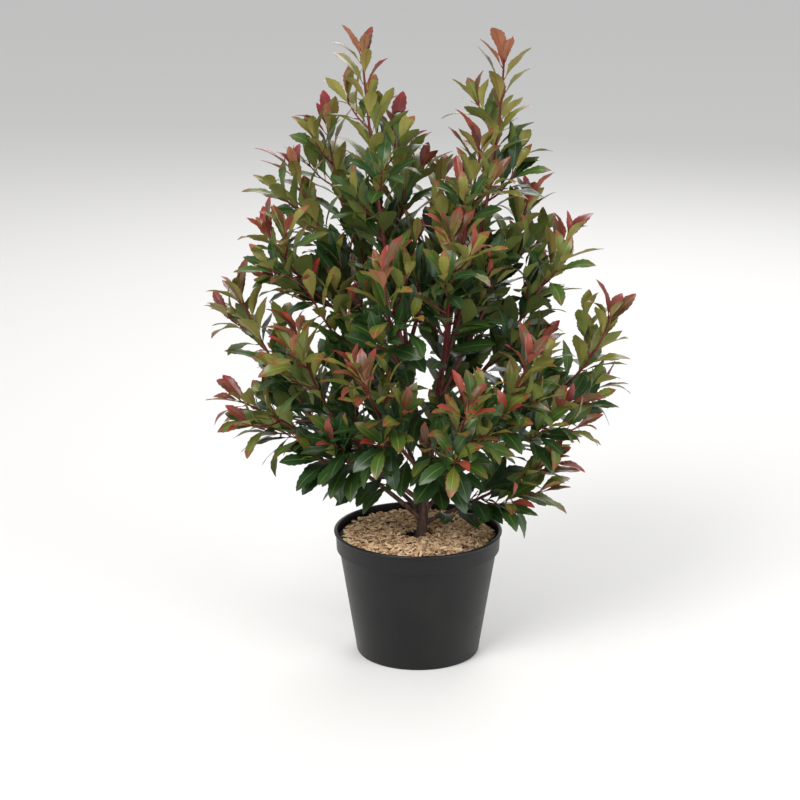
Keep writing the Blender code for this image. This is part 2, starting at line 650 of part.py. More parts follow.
class Mass:
    """One leafy mass: the stem, its side twigs, and the leaves on both."""

    def __init__(self, index, shoot, axis, room):
        self.rng = random.Random(100 + index)
        self.index = index
        self.axis = axis
        self.low = shoot.bare + GAP / axis.length
        self.room = room
        self.stem = limb(axis, self.low, 1.0, SPRIG_SIDES, step=SPRIG_RING_STEP)
        self.twigs = []
        self.leaves = []
        self.bodies = [tree_of(*self.stem)]

    def grow(self):
        """Walks up the stem and sets a leaf, or a side twig with leaves, at each node."""
        leafy = (1.0 - self.low) * self.axis.length
        nodes = max(FEWEST_NODES, int(leafy / LEAF_STEP))
        turn = math.pi / SPRIG_SIDES + self.rng.randrange(SPRIG_SIDES) * STEM_TURN
        for k in range(nodes):
            climb = (k + 0.6) / nodes
            share = self.low + (1.0 - self.low) * climb
            root = self.axis.at(share)
            direction = self.axis.direction(share)
            out = turned(self.axis.side(share), direction, turn)
            turn += STEM_TURN
            if k % TWIG_EVERY == 1 and climb < HIGHEST_TWIG:
                self.grow_twig(root, direction, out, climb)
            else:
                self.set_leaf(root, direction, out, climb)
        self.crown_tip()

    def crown_tip(self):
        """The upright young leaves at the very tip."""
        direction = self.axis.direction(1.0)
        side = self.axis.side(1.0)
        for k in range(TIP_LEAVES):
            root = self.axis.at(1.0) - direction * (TIP_LEAF_DROP + k * TIP_DROP_STEP)
            out = turned(side, direction, math.pi / SPRIG_SIDES + k * STEM_TURN)
            lean = TIP_LEAF_LEAN + k * TIP_LEAN_STEP
            self.place(root, direction, out, lean, TIP_LEAF_SIZE - k * TIP_SIZE_STEP, TIP_RADIUS)

    def set_leaf(self, root, direction, out, climb):
        size = 1.0 - STEM_SIZE_LOST * climb + self.rng.uniform(-1, 1) * STEM_SIZE_CHANCE
        lean = STEM_LEAF_LEAN - STEM_LEAN_LOST * climb + self.rng.uniform(-1, 1) * STEM_LEAN_CHANCE
        radius = self.axis.radius(self.low + (1.0 - self.low) * climb)
        self.place(root, direction, out, lean, size, radius)

    def place(self, root, direction, out, lean, size, radius):
        """Tries the leaf as it comes, then turned, more upright and smaller, or leaves it out."""
        for smaller, swing, raise_by in itertools.product(SIZES_TRIED, SWINGS_TRIED, RAISES_TRIED):
            side = turned(out, direction, swing)
            angle = lean - raise_by
            along = unit(direction * math.cos(angle) + side * math.sin(angle) + TOWARD_LIGHT)
            face = unit(UP + 0.7 * direction - 0.35 * side)
            if abs(np.dot(face, along)) > 0.95:
                face = -side
            points, faces = leaf(root, along, face, LEAF_LENGTH * size * smaller, radius)
            if self.fits(points, faces):
                self.leaves.append((points, faces))
                self.bodies.append(tree_of(points, faces))
                return

    def fits(self, points, faces):
        """Whether a leaf keeps to the mass's space and crosses nothing of the mass."""
        if not self.room.holds(outline_points(points), self.index):
            return False
        free = points.copy()
        free[:3] += (points[3:6] - points[:3]) / 2
        body = tree_of(free, faces)
        return not any(body.overlap(other) for other in self.bodies)

    def grow_twig(self, root, direction, out, climb):
        """A three-sided side twig that curves upward, with leaves round it."""
        length = TWIG_LENGTH * (1.15 - TWIG_LENGTH_LOST * climb) * self.rng.uniform(0.9, 1.1)
        for smaller, swing in itertools.product(TWIG_SIZES_TRIED, TWIG_SWINGS_TRIED):
            side = turned(out, direction, swing)
            reach = length * smaller
            middle = root + unit(direction * 0.6 + side) * reach / 2
            tip = middle + unit(direction * 1.2 + side * 0.8 + UP * 0.5) * reach / 2
            line = bezier(root, middle, tip, TWIG_RINGS)
            shape = tube(line, np.linspace(TWIG_RADIUS, TIP_RADIUS, TWIG_RINGS), TWIG_SIDES)
            body = tree_of(*shape)
            clear = not any(body.overlap(other) for other in self.bodies[1:])
            if clear and self.room.holds(line[1:], self.index):
                self.twigs.append(shape)
                self.bodies.append(body)
                self.dress_twig(Axis(line, TWIG_RADIUS, TIP_RADIUS), climb, reach)
                return
        self.set_leaf(root, direction, out, climb)

    def dress_twig(self, twig, climb, reach):
        count = max(FEWEST_TWIG_LEAVES, round(TWIG_LEAVES * reach / TWIG_LENGTH))
        turn = math.pi / TWIG_SIDES + self.rng.randrange(TWIG_SIDES) * TWIG_TURN
        for k in range(count):
            share = TWIG_LEAVES_FROM + (TWIG_LEAVES_TO - TWIG_LEAVES_FROM) * k / (count - 1)
            root = twig.at(share)
            direction = twig.direction(share)
            out = turned(twig.side(share), direction, turn)
            turn += TWIG_TURN
            lean = TWIG_LEAF_LEAN - TWIG_LEAN_LOST * share + self.rng.uniform(-1, 1) * TWIG_LEAN_CHANCE
            size = TWIG_LEAF_SIZE - TWIG_SIZE_LOST * share - STEM_SIZE_CHANCE * climb
            self.place(root, direction, out, lean, size, twig.radius(share))

    def build(self, name, green):
        """Fuses the stem, the twigs and the leaves into one solid."""
        stem = make_object(name, *self.stem, green)
        others = [make_object("twig", *shape) for shape in self.twigs]
        others += [make_object("leaf", *shape) for shape in self.leaves]
        combine(stem, others, "UNION")


def main():
    for old in list(bpy.data.objects):
        bpy.data.objects.remove(old)
    bark = plain_material("stem_bark", (0.11, 0.055, 0.035), 0.7)
    green = plain_material("photinia_leaves", (0.045, 0.085, 0.025), 0.35)
    make_pot()
    make_potting_mix()
    make_mulch()
    axes = all_axes()
    make_limbs(axes, bark)
    room = Room(axes)
    for index, shoot in enumerate(SHOOTS):
        mass = Mass(index, shoot, axes[shoot.name], room)
        mass.grow()
        mass.build("leaves_" + shoot.name, green)


main()
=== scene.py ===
"""Looks of the potted red tip photinia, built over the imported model.

Metres, +Z up, the same frame as the CAD. The plant's skeleton and the rule that sets its
leaves are those of the source, written again here and carried to finer twigs.
"""

import itertools
import json
import logging
import math
import random
from dataclasses import dataclass, field
from enum import Enum, IntEnum
from typing import Any, Iterable, Sequence

import bpy
import numpy as np
from mathutils import Euler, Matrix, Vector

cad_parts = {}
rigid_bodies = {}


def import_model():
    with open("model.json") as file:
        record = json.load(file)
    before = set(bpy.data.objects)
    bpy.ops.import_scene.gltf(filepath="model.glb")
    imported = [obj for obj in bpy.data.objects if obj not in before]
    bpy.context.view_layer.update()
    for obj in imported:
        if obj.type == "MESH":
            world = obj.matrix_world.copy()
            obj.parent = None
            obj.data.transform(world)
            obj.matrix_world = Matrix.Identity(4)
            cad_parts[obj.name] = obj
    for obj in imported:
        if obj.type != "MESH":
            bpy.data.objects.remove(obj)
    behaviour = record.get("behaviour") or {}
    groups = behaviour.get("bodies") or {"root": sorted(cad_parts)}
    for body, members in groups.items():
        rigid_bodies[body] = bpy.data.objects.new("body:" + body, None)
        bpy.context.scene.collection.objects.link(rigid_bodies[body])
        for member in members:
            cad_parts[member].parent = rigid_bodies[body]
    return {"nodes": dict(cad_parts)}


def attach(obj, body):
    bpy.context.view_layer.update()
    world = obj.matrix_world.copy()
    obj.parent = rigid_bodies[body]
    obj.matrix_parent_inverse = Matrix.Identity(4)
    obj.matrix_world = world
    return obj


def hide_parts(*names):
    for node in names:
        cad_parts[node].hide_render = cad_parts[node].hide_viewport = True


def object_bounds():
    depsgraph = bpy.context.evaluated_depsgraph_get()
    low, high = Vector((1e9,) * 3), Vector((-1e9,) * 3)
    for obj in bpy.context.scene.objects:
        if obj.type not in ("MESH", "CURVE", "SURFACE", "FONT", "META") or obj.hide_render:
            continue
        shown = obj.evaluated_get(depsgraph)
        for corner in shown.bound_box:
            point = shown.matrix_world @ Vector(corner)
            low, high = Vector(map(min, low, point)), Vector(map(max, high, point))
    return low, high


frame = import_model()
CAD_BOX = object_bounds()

logging.basicConfig(level=logging.INFO, format="%(message)s")
LOG = logging.getLogger("photinia")
Array = np.ndarray
Colour = tuple[float, float, float]
Pair = tuple[float, float]
Faces = Iterable[Sequence[int]]
Material = bpy.types.Material
Piece = bpy.types.Object

# Driving sizes of the pot and its fill, as in the source

POT_HEIGHT = 0.152
RIM_RADIUS = 0.100
FOOT_RADIUS = 0.073
BODY_TOP_RADIUS = 0.0935
WALL = 0.0018
BAND_HEIGHT = 0.024
BAND_DRAFT = 0.001
LIP_RADIUS = 0.0021
BASE_DISC_RADIUS = 0.022
BASE_CHANNEL_OUT = 0.061
BASE_CHANNEL_RISE = 0.003
DRAIN_RING_RADIUS = 0.043
DRAIN_RADIUS = 0.0048
DRAIN_COUNT = 8
GAP = 0.0003
SOIL_TOP = POT_HEIGHT - 0.021
SOIL_MOUND = 0.004
MULCH_EDGE_TOP = POT_HEIGHT - 0.007
MULCH_DOME = 0.0035
HOLLOW_RADIUS = 0.017

# Driving sizes of the stems, as in the source

STEM_FOOT = (0.004, 0.0, SOIL_TOP + SOIL_MOUND + GAP)
STEM_FORK = (0.012, 0.0, 0.239)
STEM_RADIUS = 0.0062
FORK_RADIUS = 0.0052
FLARE_RADIUS = 0.0100
FLARE_FADE = 0.0073
MAIN_STEM_BEND = (-0.0015, 0.001, 0.0)
TIP_RADIUS = 0.0011
TIP_LEAF_REACH = 0.024
SAMPLE_STEP = 0.004
LEAST_SAMPLES = 8
TANGENT_SHARE = 0.02

# Sizes of the leaves and of the twigs that carry them, and how they are set

LEAF_LENGTH = 0.067
LEAF_WIDTH = 0.0240
LEAF_WIDEST = 0.56
PETIOLE_LENGTH = 0.0060
LEAF_STEP = 0.0080
LEAST_NODES = 10
NODE_CROWDING = 1.22
BOUGH_LEAF_STEP = 0.0085
BOUGH_CLOTHED = 0.62
BOUGH_LEAF_SIZE = 0.95
CROWN_LEAVES = 5
TWIG_EVERY = 3
TWIGS_UNTIL = 0.80
TWIG_LENGTH = 0.052
TWIG_SCATTER = (0.85, 1.15)
TWIG_RADIUS = 0.0013
TWIG_TIP_RADIUS = 0.0007
TWIG_LEAVES = 7.4
TWIG_START = 0.6
TWIG_END = (1.2, 0.8, 0.5)
TWIG_POINTS = 8
TWIG_TIP_LEAN = 22
TWIG_TIP_SIZE = 0.60
FACE_FORWARD = 0.7
FACE_INWARD = 0.35
EDGE_ON = 0.95
YOUNG_NARROWER = 0.16
STEM_TURN = math.radians(144)
TWIG_TURN = math.radians(137.5)
SPACE_MARGIN = 0.0004
LIMB_CLEAR = 0.0008
BOX_MARGIN = 0.004
LOWEST_LEAF = POT_HEIGHT + 0.005
UP = np.array([0.0, 0.0, 1.0])
TOWARD_LIGHT = np.array([0.0, 0.0, 0.12])
LEAF_SIZES_TRIED = (1.0, 0.86, 0.74)
LEAF_SWINGS_TRIED = (0.0, 0.35, -0.35, 0.8, -0.8)
TWIG_SIZES_TRIED = (1.0, 0.8, 0.6, 0.45)
TWIG_SWINGS_TRIED = (0.0, 0.4, -0.4, 0.9, -0.9, 1.5)
MOST_TRIANGLES = 190_000
FIRST_SEED = 100


@dataclass(frozen=True)
class Ramp:
    """A value that changes evenly from a foot to a tip, or leaf by leaf, with its scatter."""

    foot: float
    change: float = 0.0
    below: float = 0.0
    above: float = 0.0

    def at(self, climb: float) -> float:
        """The value itself at a share of the way, or at a leaf's number."""
        return self.foot + self.change * climb

    def pick(self, rng: random.Random, climb: float = 0.0) -> float:
        """The value there, drawn from its scatter."""
        return self.at(climb) + rng.uniform(-self.below, self.above)


# How leaves vary from foot to tip, with angles in degrees

STEM_LEAF_SIZE = Ramp(1.0, -0.22, 0.10, 0.10)
STEM_LEAF_LEAN = Ramp(58, -24, 9, 9)
BOUGH_LEAF_LEAN = Ramp(62, 0, 10, 10)
TWIG_LEAF_LEAN = Ramp(60, -26, 8, 8)
FOLD = Ramp(14, 16, 5, 7)
RECURVE = Ramp(34, 0, 22, 26)
ROLL = Ramp(0, 0, 16, 16)
YOUTH_SHIFT = Ramp(0, 0, 0.09, 0.09)
CROWN_LEAN = Ramp(16, 8)
CROWN_SIZE = Ramp(0.46, 0.075)
CROWN_YOUTH = Ramp(1.04, -0.035)
CROWN_BACK = Ramp(0.001, 0.0022)
TWIG_REACH = Ramp(1.15, -0.5)
TWIG_LEAF_PLACE = Ramp(0.26, 0.68)
TWIG_LEAF_SIZE = Ramp(0.94, -0.18)
TWIG_SIZE_LOSS = Ramp(0.0, -0.08)
TWIG_YOUTH = Ramp(0.0, 0.55)
FLUSH_CHANCE = Ramp(0.15, 0.45)
FLUSH_YOUTH = Ramp(0.0, 0.42)
QUIET_YOUTH = Ramp(0.0, 0.15)
FLUSH_TIP_YOUTH = Ramp(0.97)
QUIET_TIP_YOUTH = Ramp(0.55, 0.25)


@dataclass(frozen=True)
class Shoot:
    """One bough and the leafy mass that it carries, given as in the source."""

    name: str
    parent: str
    leaves_at: float
    tip: tuple[float, float, float]
    out: float
    up: float
    bare: float
    foot_radius: float


SHOOTS = (
    Shoot("tall_left", "main_stem", 0.95, (-0.066, 0.010, 0.735), 0.66, 0.40, 0.34, 0.0043),
    Shoot("upright_right", "main_stem", 0.95, (0.074, -0.020, 0.634), 0.42, 0.50, 0.40, 0.0043),
    Shoot("tall_right", "upright_right", 0.30, (0.098, 0.030, 0.728), 0.86, 0.46, 0.20, 0.0031),
    Shoot("front_centre", "upright_right", 0.28, (0.036, -0.090, 0.548), 0.80, 0.40, 0.30, 0.0028),
    Shoot("right_back", "upright_right", 0.20, (0.136, 0.070, 0.556), 0.62, 0.48, 0.28, 0.0029),
    Shoot("right_high", "upright_right", 0.11, (0.184, 0.025, 0.520), 0.56, 0.40, 0.34, 0.0031),
    Shoot("centre_back", "tall_left", 0.16, (-0.028, 0.070, 0.640), 0.90, 0.42, 0.30, 0.0030),
    Shoot("left_front", "tall_left", 0.10, (-0.135, -0.050, 0.474), 0.62, 0.42, 0.32, 0.0028),
    Shoot("left_high", "tall_left", 0.22, (-0.152, 0.050, 0.596), 0.62, 0.46, 0.30, 0.0031),
    Shoot("left_outer", "left_high", 0.20, (-0.182, -0.025, 0.532), 0.62, 0.36, 0.30, 0.0025),
    Shoot("left_back", "tall_left", 0.31, (-0.109, 0.095, 0.640), 0.80, 0.40, 0.22, 0.0026),
    Shoot("far_right", "main_stem", 0.84, (0.226, -0.010, 0.436), 0.88, 0.44, 0.40, 0.0032),
    Shoot("right_front", "main_stem", 0.50, (0.130, -0.115, 0.408), 0.62, 0.40, 0.36, 0.0031),
    Shoot("right_spur", "right_front", 0.26, (0.182, -0.070, 0.335), 0.60, 0.42, 0.30, 0.0022),
    Shoot("low_right", "main_stem", 0.22, (0.166, -0.050, 0.262), 0.56, 0.47, 0.34, 0.0026),
    Shoot("far_left", "low_left", 0.34, (-0.216, 0.010, 0.456), 0.64, 0.40, 0.26, 0.0025),
    Shoot("left_middle", "main_stem", 0.46, (-0.140, -0.080, 0.435), 0.85, 0.46, 0.34, 0.0031),
    Shoot("low_left", "main_stem", 0.26, (-0.226, -0.050, 0.334), 0.45, 0.60, 0.44, 0.0031),
    Shoot("inner_spur", "main_stem", 0.72, (0.066, -0.066, 0.335), 0.62, 0.42, 0.30, 0.0023),
    Shoot("rear_left", "main_stem", 0.62, (-0.080, 0.190, 0.440), 0.66, 0.44, 0.34, 0.0030),
    Shoot("rear_right", "main_stem", 0.72, (0.060, 0.205, 0.470), 0.66, 0.44, 0.34, 0.0031),
    Shoot("rear_low_right", "main_stem", 0.36, (0.165, 0.145, 0.355), 0.66, 0.46, 0.34, 0.0028),
    Shoot("rear_low_left", "main_stem", 0.34, (-0.168, 0.138, 0.350), 0.66, 0.46, 0.34, 0.0028),
    Shoot("rear_upright", "tall_left", 0.26, (0.030, 0.135, 0.575), 0.80, 0.44, 0.26, 0.0029),
    Shoot("front_left", "main_stem", 0.80, (-0.065, -0.170, 0.395), 0.66, 0.46, 0.34, 0.0028),
    Shoot("front_right", "main_stem", 0.62, (0.055, -0.185, 0.365), 0.66, 0.46, 0.34, 0.0028),
    Shoot("front_high", "tall_left", 0.24, (-0.040, -0.115, 0.505), 0.80, 0.42, 0.30, 0.0026),
)
LEAF_NODES = tuple("leaves_" + shoot.name for shoot in SHOOTS)
BOUGH_NODES = tuple("bough_" + shoot.name for shoot in SHOOTS)


# Lines and vectors


def unit(vector: Array) -> Array:
    """The vector at length one."""
    return vector / max(float(np.linalg.norm(vector)), 1e-12)


def turned(vector: Array, about: Array, angle: float) -> Array:
    """The vector turned round a unit axis by an angle in radians."""
    along = about * np.dot(about, vector)
    return along + (vector - along) * math.cos(angle) + np.cross(about, vector) * math.sin(angle)


def squared(vector: Array, direction: Array) -> Array:
    """The vector made square to a unit direction, at length one."""
    return unit(vector - direction * np.dot(vector, direction))


def around(radius: float, angle: float, height: float) -> Array:
    """The point at a radius, an angle and a height from the Z axis."""
    return np.array([radius * math.cos(angle), radius * math.sin(angle), height])


def bezier(start: Array, middle: Array, end: Array, count: int = 60) -> Array:
    """Points on a quadratic curve."""
    t = np.linspace(0.0, 1.0, count)[:, None]
    return (1 - t) ** 2 * start + 2 * t * (1 - t) * middle + t**2 * end


class Axis:
    """A smooth line through space, sampled evenly, with a radius that tapers along it."""

    def __init__(self, points: Array, foot_radius: float, tip_radius: float) -> None:
        """Samples the line and carries a side along it without a twist.

        Args:
            points: points along the line, from foot to tip.
            foot_radius: the radius at the foot.
            tip_radius: the radius at the tip.
        """
        steps = np.linalg.norm(np.diff(points, axis=0), axis=1)
        along = np.concatenate(([0.0], np.cumsum(steps)))
        self.length = float(along[-1])
        even = np.linspace(0.0, self.length, max(LEAST_SAMPLES, int(self.length / SAMPLE_STEP)) + 1)
        self.points = np.column_stack([np.interp(even, along, points[:, k]) for k in range(3)])
        self.shares = even / self.length
        self.foot_radius = foot_radius
        self.tip_radius = tip_radius
        start = self.direction(0.0)
        helper = np.array([0.0, -1.0, 0.0]) if abs(start[1]) < 0.9 else np.array([1.0, 0.0, 0.0])
        sides = [unit(np.cross(start, helper))]
        for share in self.shares:
            sides.append(squared(sides[-1], self.direction(share)))
        self.sides = np.array(sides[1:])

    def blend(self, values: Array, share: float | Array) -> Array:
        """What vectors kept for each sample come to at a share of the length, or at many."""
        return np.stack([np.interp(share, self.shares, values[:, k]) for k in range(3)], axis=-1)

    def side(self, share: float) -> Array:
        """A unit vector square to the line, carried along it without a twist."""
        return squared(self.blend(self.sides, share), self.direction(share))

    def at(self, share: float | Array) -> Array:
        """The point at a share of the length, or the points at many."""
        return self.blend(self.points, share)

    def direction(self, share: float) -> Array:
        """The unit tangent at a share of the length."""
        ends = max(0.0, share - TANGENT_SHARE), min(1.0, share + TANGENT_SHARE)
        return unit(self.at(ends[1]) - self.at(ends[0]))

    def radius(self, share: float | Array) -> Any:
        """The radius at a share of the length, or the radii at many."""
        return self.tip_radius + (self.foot_radius - self.tip_radius) * (1.0 - share)

    def node(self, share: float, turn: float) -> tuple[Array, Array, Array]:
        """The point, the direction, and the side at a turn round the line, for a share of it."""
        direction = self.direction(share)
        return self.at(share), direction, turned(self.side(share), direction, turn)


def shoot_axis(shoot: Shoot, axes: dict[str, Axis]) -> Axis:
    """Draws the line of a shoot, from its parent's axis to where its last leaves start.

    Args:
        shoot: the shoot.
        axes: the axes that are drawn, by name, the parent's among them.

    Returns:
        The shoot's axis.
    """
    start = axes[shoot.parent].at(shoot.leaves_at)
    tip = np.array(shoot.tip)
    middle = start + (tip - start) * np.array([shoot.out, shoot.out, shoot.up])
    tip = tip - unit(tip - middle) * TIP_LEAF_REACH
    return Axis(bezier(start, middle, tip), shoot.foot_radius, TIP_RADIUS)


def all_axes() -> dict[str, Axis]:
    """Draws the axes of the main stem and of every shoot, parents first.

    Returns:
        The axes, by name.
    """
    foot, fork = np.array(STEM_FOOT), np.array(STEM_FORK)
    middle = (foot + fork) / 2 + np.array(MAIN_STEM_BEND)
    axes = {"main_stem": Axis(bezier(foot, middle, fork), STEM_RADIUS, FORK_RADIUS)}
    waiting = list(SHOOTS)
    while waiting:
        shoot = waiting.pop(0)
        if shoot.parent in axes:
            axes[shoot.name] = shoot_axis(shoot, axes)
        else:
            waiting.append(shoot)
    return axes


# Node materials

COAT_ROUGHNESS = 0.22
SPECULAR = 0.35


@dataclass(frozen=True)
class Socket:
    """A node's output that can be reckoned with like a number."""

    graph: "Graph"
    out: Any

    def __add__(self, other: Any) -> "Socket":
        """This value and another."""
        return self.graph.math("ADD", self, other)

    def __mul__(self, other: Any) -> "Socket":
        """This value times another."""
        return self.graph.math("MULTIPLY", self, other)

    __radd__ = __add__
    __rmul__ = __mul__

    def between(self, low: float, high: float) -> "Socket":
        """The value stretched so that low gives 0 and high gives 1, clamped."""
        given = {"Value": self, "From Min": low, "From Max": high}
        return self.graph.add("ShaderNodeMapRange", "Result", given)


class Graph:
    """A material's node tree, whose nodes all come from one method."""

    def __init__(self, name: str) -> None:
        """Starts a material with a name."""
        self.material = bpy.data.materials.new(name)
        self.material.use_nodes = True
        self.tree = self.material.node_tree

    def dress(self, given: dict[str, Any]) -> Material:
        """Sets the surface's inputs by name, to plain values or sockets, and gives the material."""
        for name, value in given.items():
            self.feed(self.tree.nodes["Principled BSDF"].inputs[name], value)
        return self.material

    def feed(self, target: Any, value: Any) -> None:
        """Links a socket to an input, or sets the input to a plain value.

        Args:
            target: the input.
            value: a Socket, a number, or a tuple of three.
        """
        if isinstance(value, Socket):
            self.tree.links.new(value.out, target)
        elif isinstance(value, tuple) and target.type == "RGBA":
            target.default_value = (*value, 1.0)
        else:
            target.default_value = value

    def add(self, kind: str, out: str | int, given: dict[Any, Any], **settings: Any) -> Socket:
        """Adds a node.

        Args:
            kind: the node's Blender type.
            out: the name or number of the output that is wanted.
            given: what each input gets, by name or number.
            settings: the node's own settings.

        Returns:
            The wanted output.
        """
        node = self.tree.nodes.new(kind)
        for key, value in settings.items():
            setattr(node, key, value)
        for key, value in given.items():
            self.feed(node.inputs[key], value)
        return Socket(self, node.outputs[out])

    def math(self, operation: str, first: Any, second: Any) -> Socket:
        """One sum of two values."""
        return self.add("ShaderNodeMath", 0, {0: first, 1: second}, operation=operation)

    def noise(self, scale: float, detail: float = 3.0, stretch: Colour = (1.0, 1.0, 1.0)) -> Socket:
        """Adds noise to the point's place on the object.

        Args:
            scale: how many cells a metre has.
            detail: how many finer layers it has.
            stretch: how many times as many cells each axis has.

        Returns:
            The noise, from 0 to 1.
        """
        place = self.add("ShaderNodeTexCoord", "Object", {})
        where = self.add("ShaderNodeVectorMath", 0, {0: place, 1: stretch}, operation="MULTIPLY")
        return self.add("ShaderNodeTexNoise", 0, {"Vector": where, "Scale": scale, "Detail": detail})

    def mix(self, share: Any, first: Any, second: Any) -> Socket:
        """The first colour going over into the second."""
        return self.add("ShaderNodeMix", 2, {0: share, 6: first, 7: second}, data_type="RGBA")

    def bump(self, height: Socket, strength: float, distance: float) -> Socket:
        """A normal with a fine relief."""
        given = {"Height": height, "Strength": strength, "Distance": distance}
        return self.add("ShaderNodeBump", 0, given)


def plain(name: str, colour: Colour, roughness: float, coat: float = 0.0) -> Material:
    """Makes a material of one colour with no links, which the export keeps exactly.

    Args:
        name: its name.
        colour: its colour.
        roughness: how rough it is.
        coat: the weight of its clear coat.

    Returns:
        The material.
    """
    given = {"Base Color": colour, "Roughness": roughness, "Coat Weight": coat}
    return Graph(name).dress(given | {"Coat Roughness": COAT_ROUGHNESS, "Specular IOR Level": SPECULAR})


@dataclass(frozen=True)
class PlasticFinish:
    """Black moulded plastic with clouds and scuffs of dust and a fine grain."""

    black: Colour = (0.0035, 0.0035, 0.004)
    dust: Colour = (0.022, 0.019, 0.016)
    cloud_scale: float = 18.0
    cloud_range: Pair = (0.45, 0.8)
    cloud_dust: float = 0.3
    scuff_scale: float = 60.0
    scuff_range: Pair = (0.60, 0.78)
    scuff_dust: float = 0.25
    grain_scale: float = 900.0
    grain_depth: float = 0.0003
    roughness: float = 0.32
    specular: float = 0.32

    def material(self) -> Material:
        """Builds the material.

        Returns:
            The material.
        """
        graph = Graph("black_moulded_plastic")
        clouds = graph.noise(self.cloud_scale)
        scuffs = graph.noise(self.scuff_scale, 6.0, (1.0, 1.0, 5.0)).between(*self.scuff_range)
        dusty = (clouds.between(*self.cloud_range) * self.cloud_dust) + (scuffs * self.scuff_dust)
        given = {
            "Base Color": graph.mix(dusty, self.black, self.dust),
            "Roughness": (clouds * 0.20) + self.roughness + (scuffs * 0.15),
            "Specular IOR Level": self.specular,
            "Normal": graph.bump(graph.noise(self.grain_scale, 2.0), 0.25, self.grain_depth),
        }
        return graph.dress(given)


@dataclass(frozen=True)
class SoilFinish:
    """Dark moist mix of bark and peat crumbs."""

    dark: Colour = (0.012, 0.008, 0.006)
    light: Colour = (0.070, 0.042, 0.026)
    crumb_scale: float = 420.0
    crumb_range: Pair = (0.42, 0.68)
    crumb_depth: float = 0.0015
    roughness: float = 0.95

    def material(self, name: str) -> Material:
        """Builds the material.

        Args:
            name: its name.

        Returns:
            The material.
        """
        graph = Graph(name)
        crumbs = graph.noise(self.crumb_scale, 5.0)
        given = {
            "Base Color": graph.mix(crumbs.between(*self.crumb_range), self.dark, self.light),
            "Roughness": self.roughness,
            "Normal": graph.bump(crumbs, 0.8, self.crumb_depth),
        }
        return graph.dress(given)


@dataclass(frozen=True)
class BarkFinish:
    """Brown bark at the foot that turns deep red on the young wood."""

    old: Colour = (0.120, 0.066, 0.044)
    old_dark: Colour = (0.034, 0.018, 0.013)
    young: Colour = (0.115, 0.012, 0.012)
    young_green: Colour = (0.140, 0.034, 0.018)
    pores: Colour = (0.26, 0.19, 0.13)
    streak_scale: float = 260.0
    streak_depth: float = 0.0006
    old_range: Pair = (0.38, 0.64)
    young_range: Pair = (0.45, 0.75)
    pore_scale: float = 700.0
    pore_range: Pair = (0.66, 0.74)
    pore_share: float = 0.5
    roughness: float = 0.45
    old_roughness: float = 0.3

    def material(self) -> Material:
        """Builds the material.

        Returns:
            The material.
        """
        graph = Graph("photinia_bark")
        age = graph.add("ShaderNodeAttribute", "Fac", {}, attribute_name="age")
        streaks = graph.noise(self.streak_scale, 4.0, (1.0, 1.0, 0.22))
        spots = graph.noise(self.pore_scale, 2.0).between(*self.pore_range) * self.pore_share
        old = graph.mix(streaks.between(*self.old_range), self.old_dark, self.old)
        young = graph.mix(streaks.between(*self.young_range), self.young, self.young_green)
        given = {
            "Base Color": graph.mix(spots, graph.mix(age, young, old), self.pores),
            "Roughness": (age * self.old_roughness) + self.roughness,
            "Normal": graph.bump(streaks, 0.5, self.streak_depth),
        }
        return graph.dress(given)


# Leaf finishes


class Kind(Enum):
    """The kinds of leaf, from old to new."""

    MATURE = "mature"
    MIDDLE = "turning"
    YOUNG = "young"


class LeafPart(IntEnum):
    """The parts of a leaf, in the order of its materials."""

    UPPER = 0
    TIP = 1
    UNDER = 2
    RIB = 3
    STALK = 4


@dataclass(frozen=True)
class Tint:
    """The plain colours of one spray's leaves."""

    name: str
    kind: Kind
    upper: Colour
    tip: Colour
    under: Colour
    rib: Colour
    stalk: Colour
    roughness: float
    coat: float

    def materials(self) -> list[Material]:
        """Makes the leaf's five materials.

        Returns:
            Those of the blade, its margins and tip, the underside, the midrib and the stalk.
        """
        looks = (
            (self.upper, self.roughness, self.coat),
            (self.tip, self.roughness, self.coat),
            (self.under, 0.55),
            (self.rib, 0.45),
            (self.stalk, 0.5),
        )
        return [plain(f"{self.name}_{part.name.lower()}", *look) for part, look in zip(LeafPart, looks)]


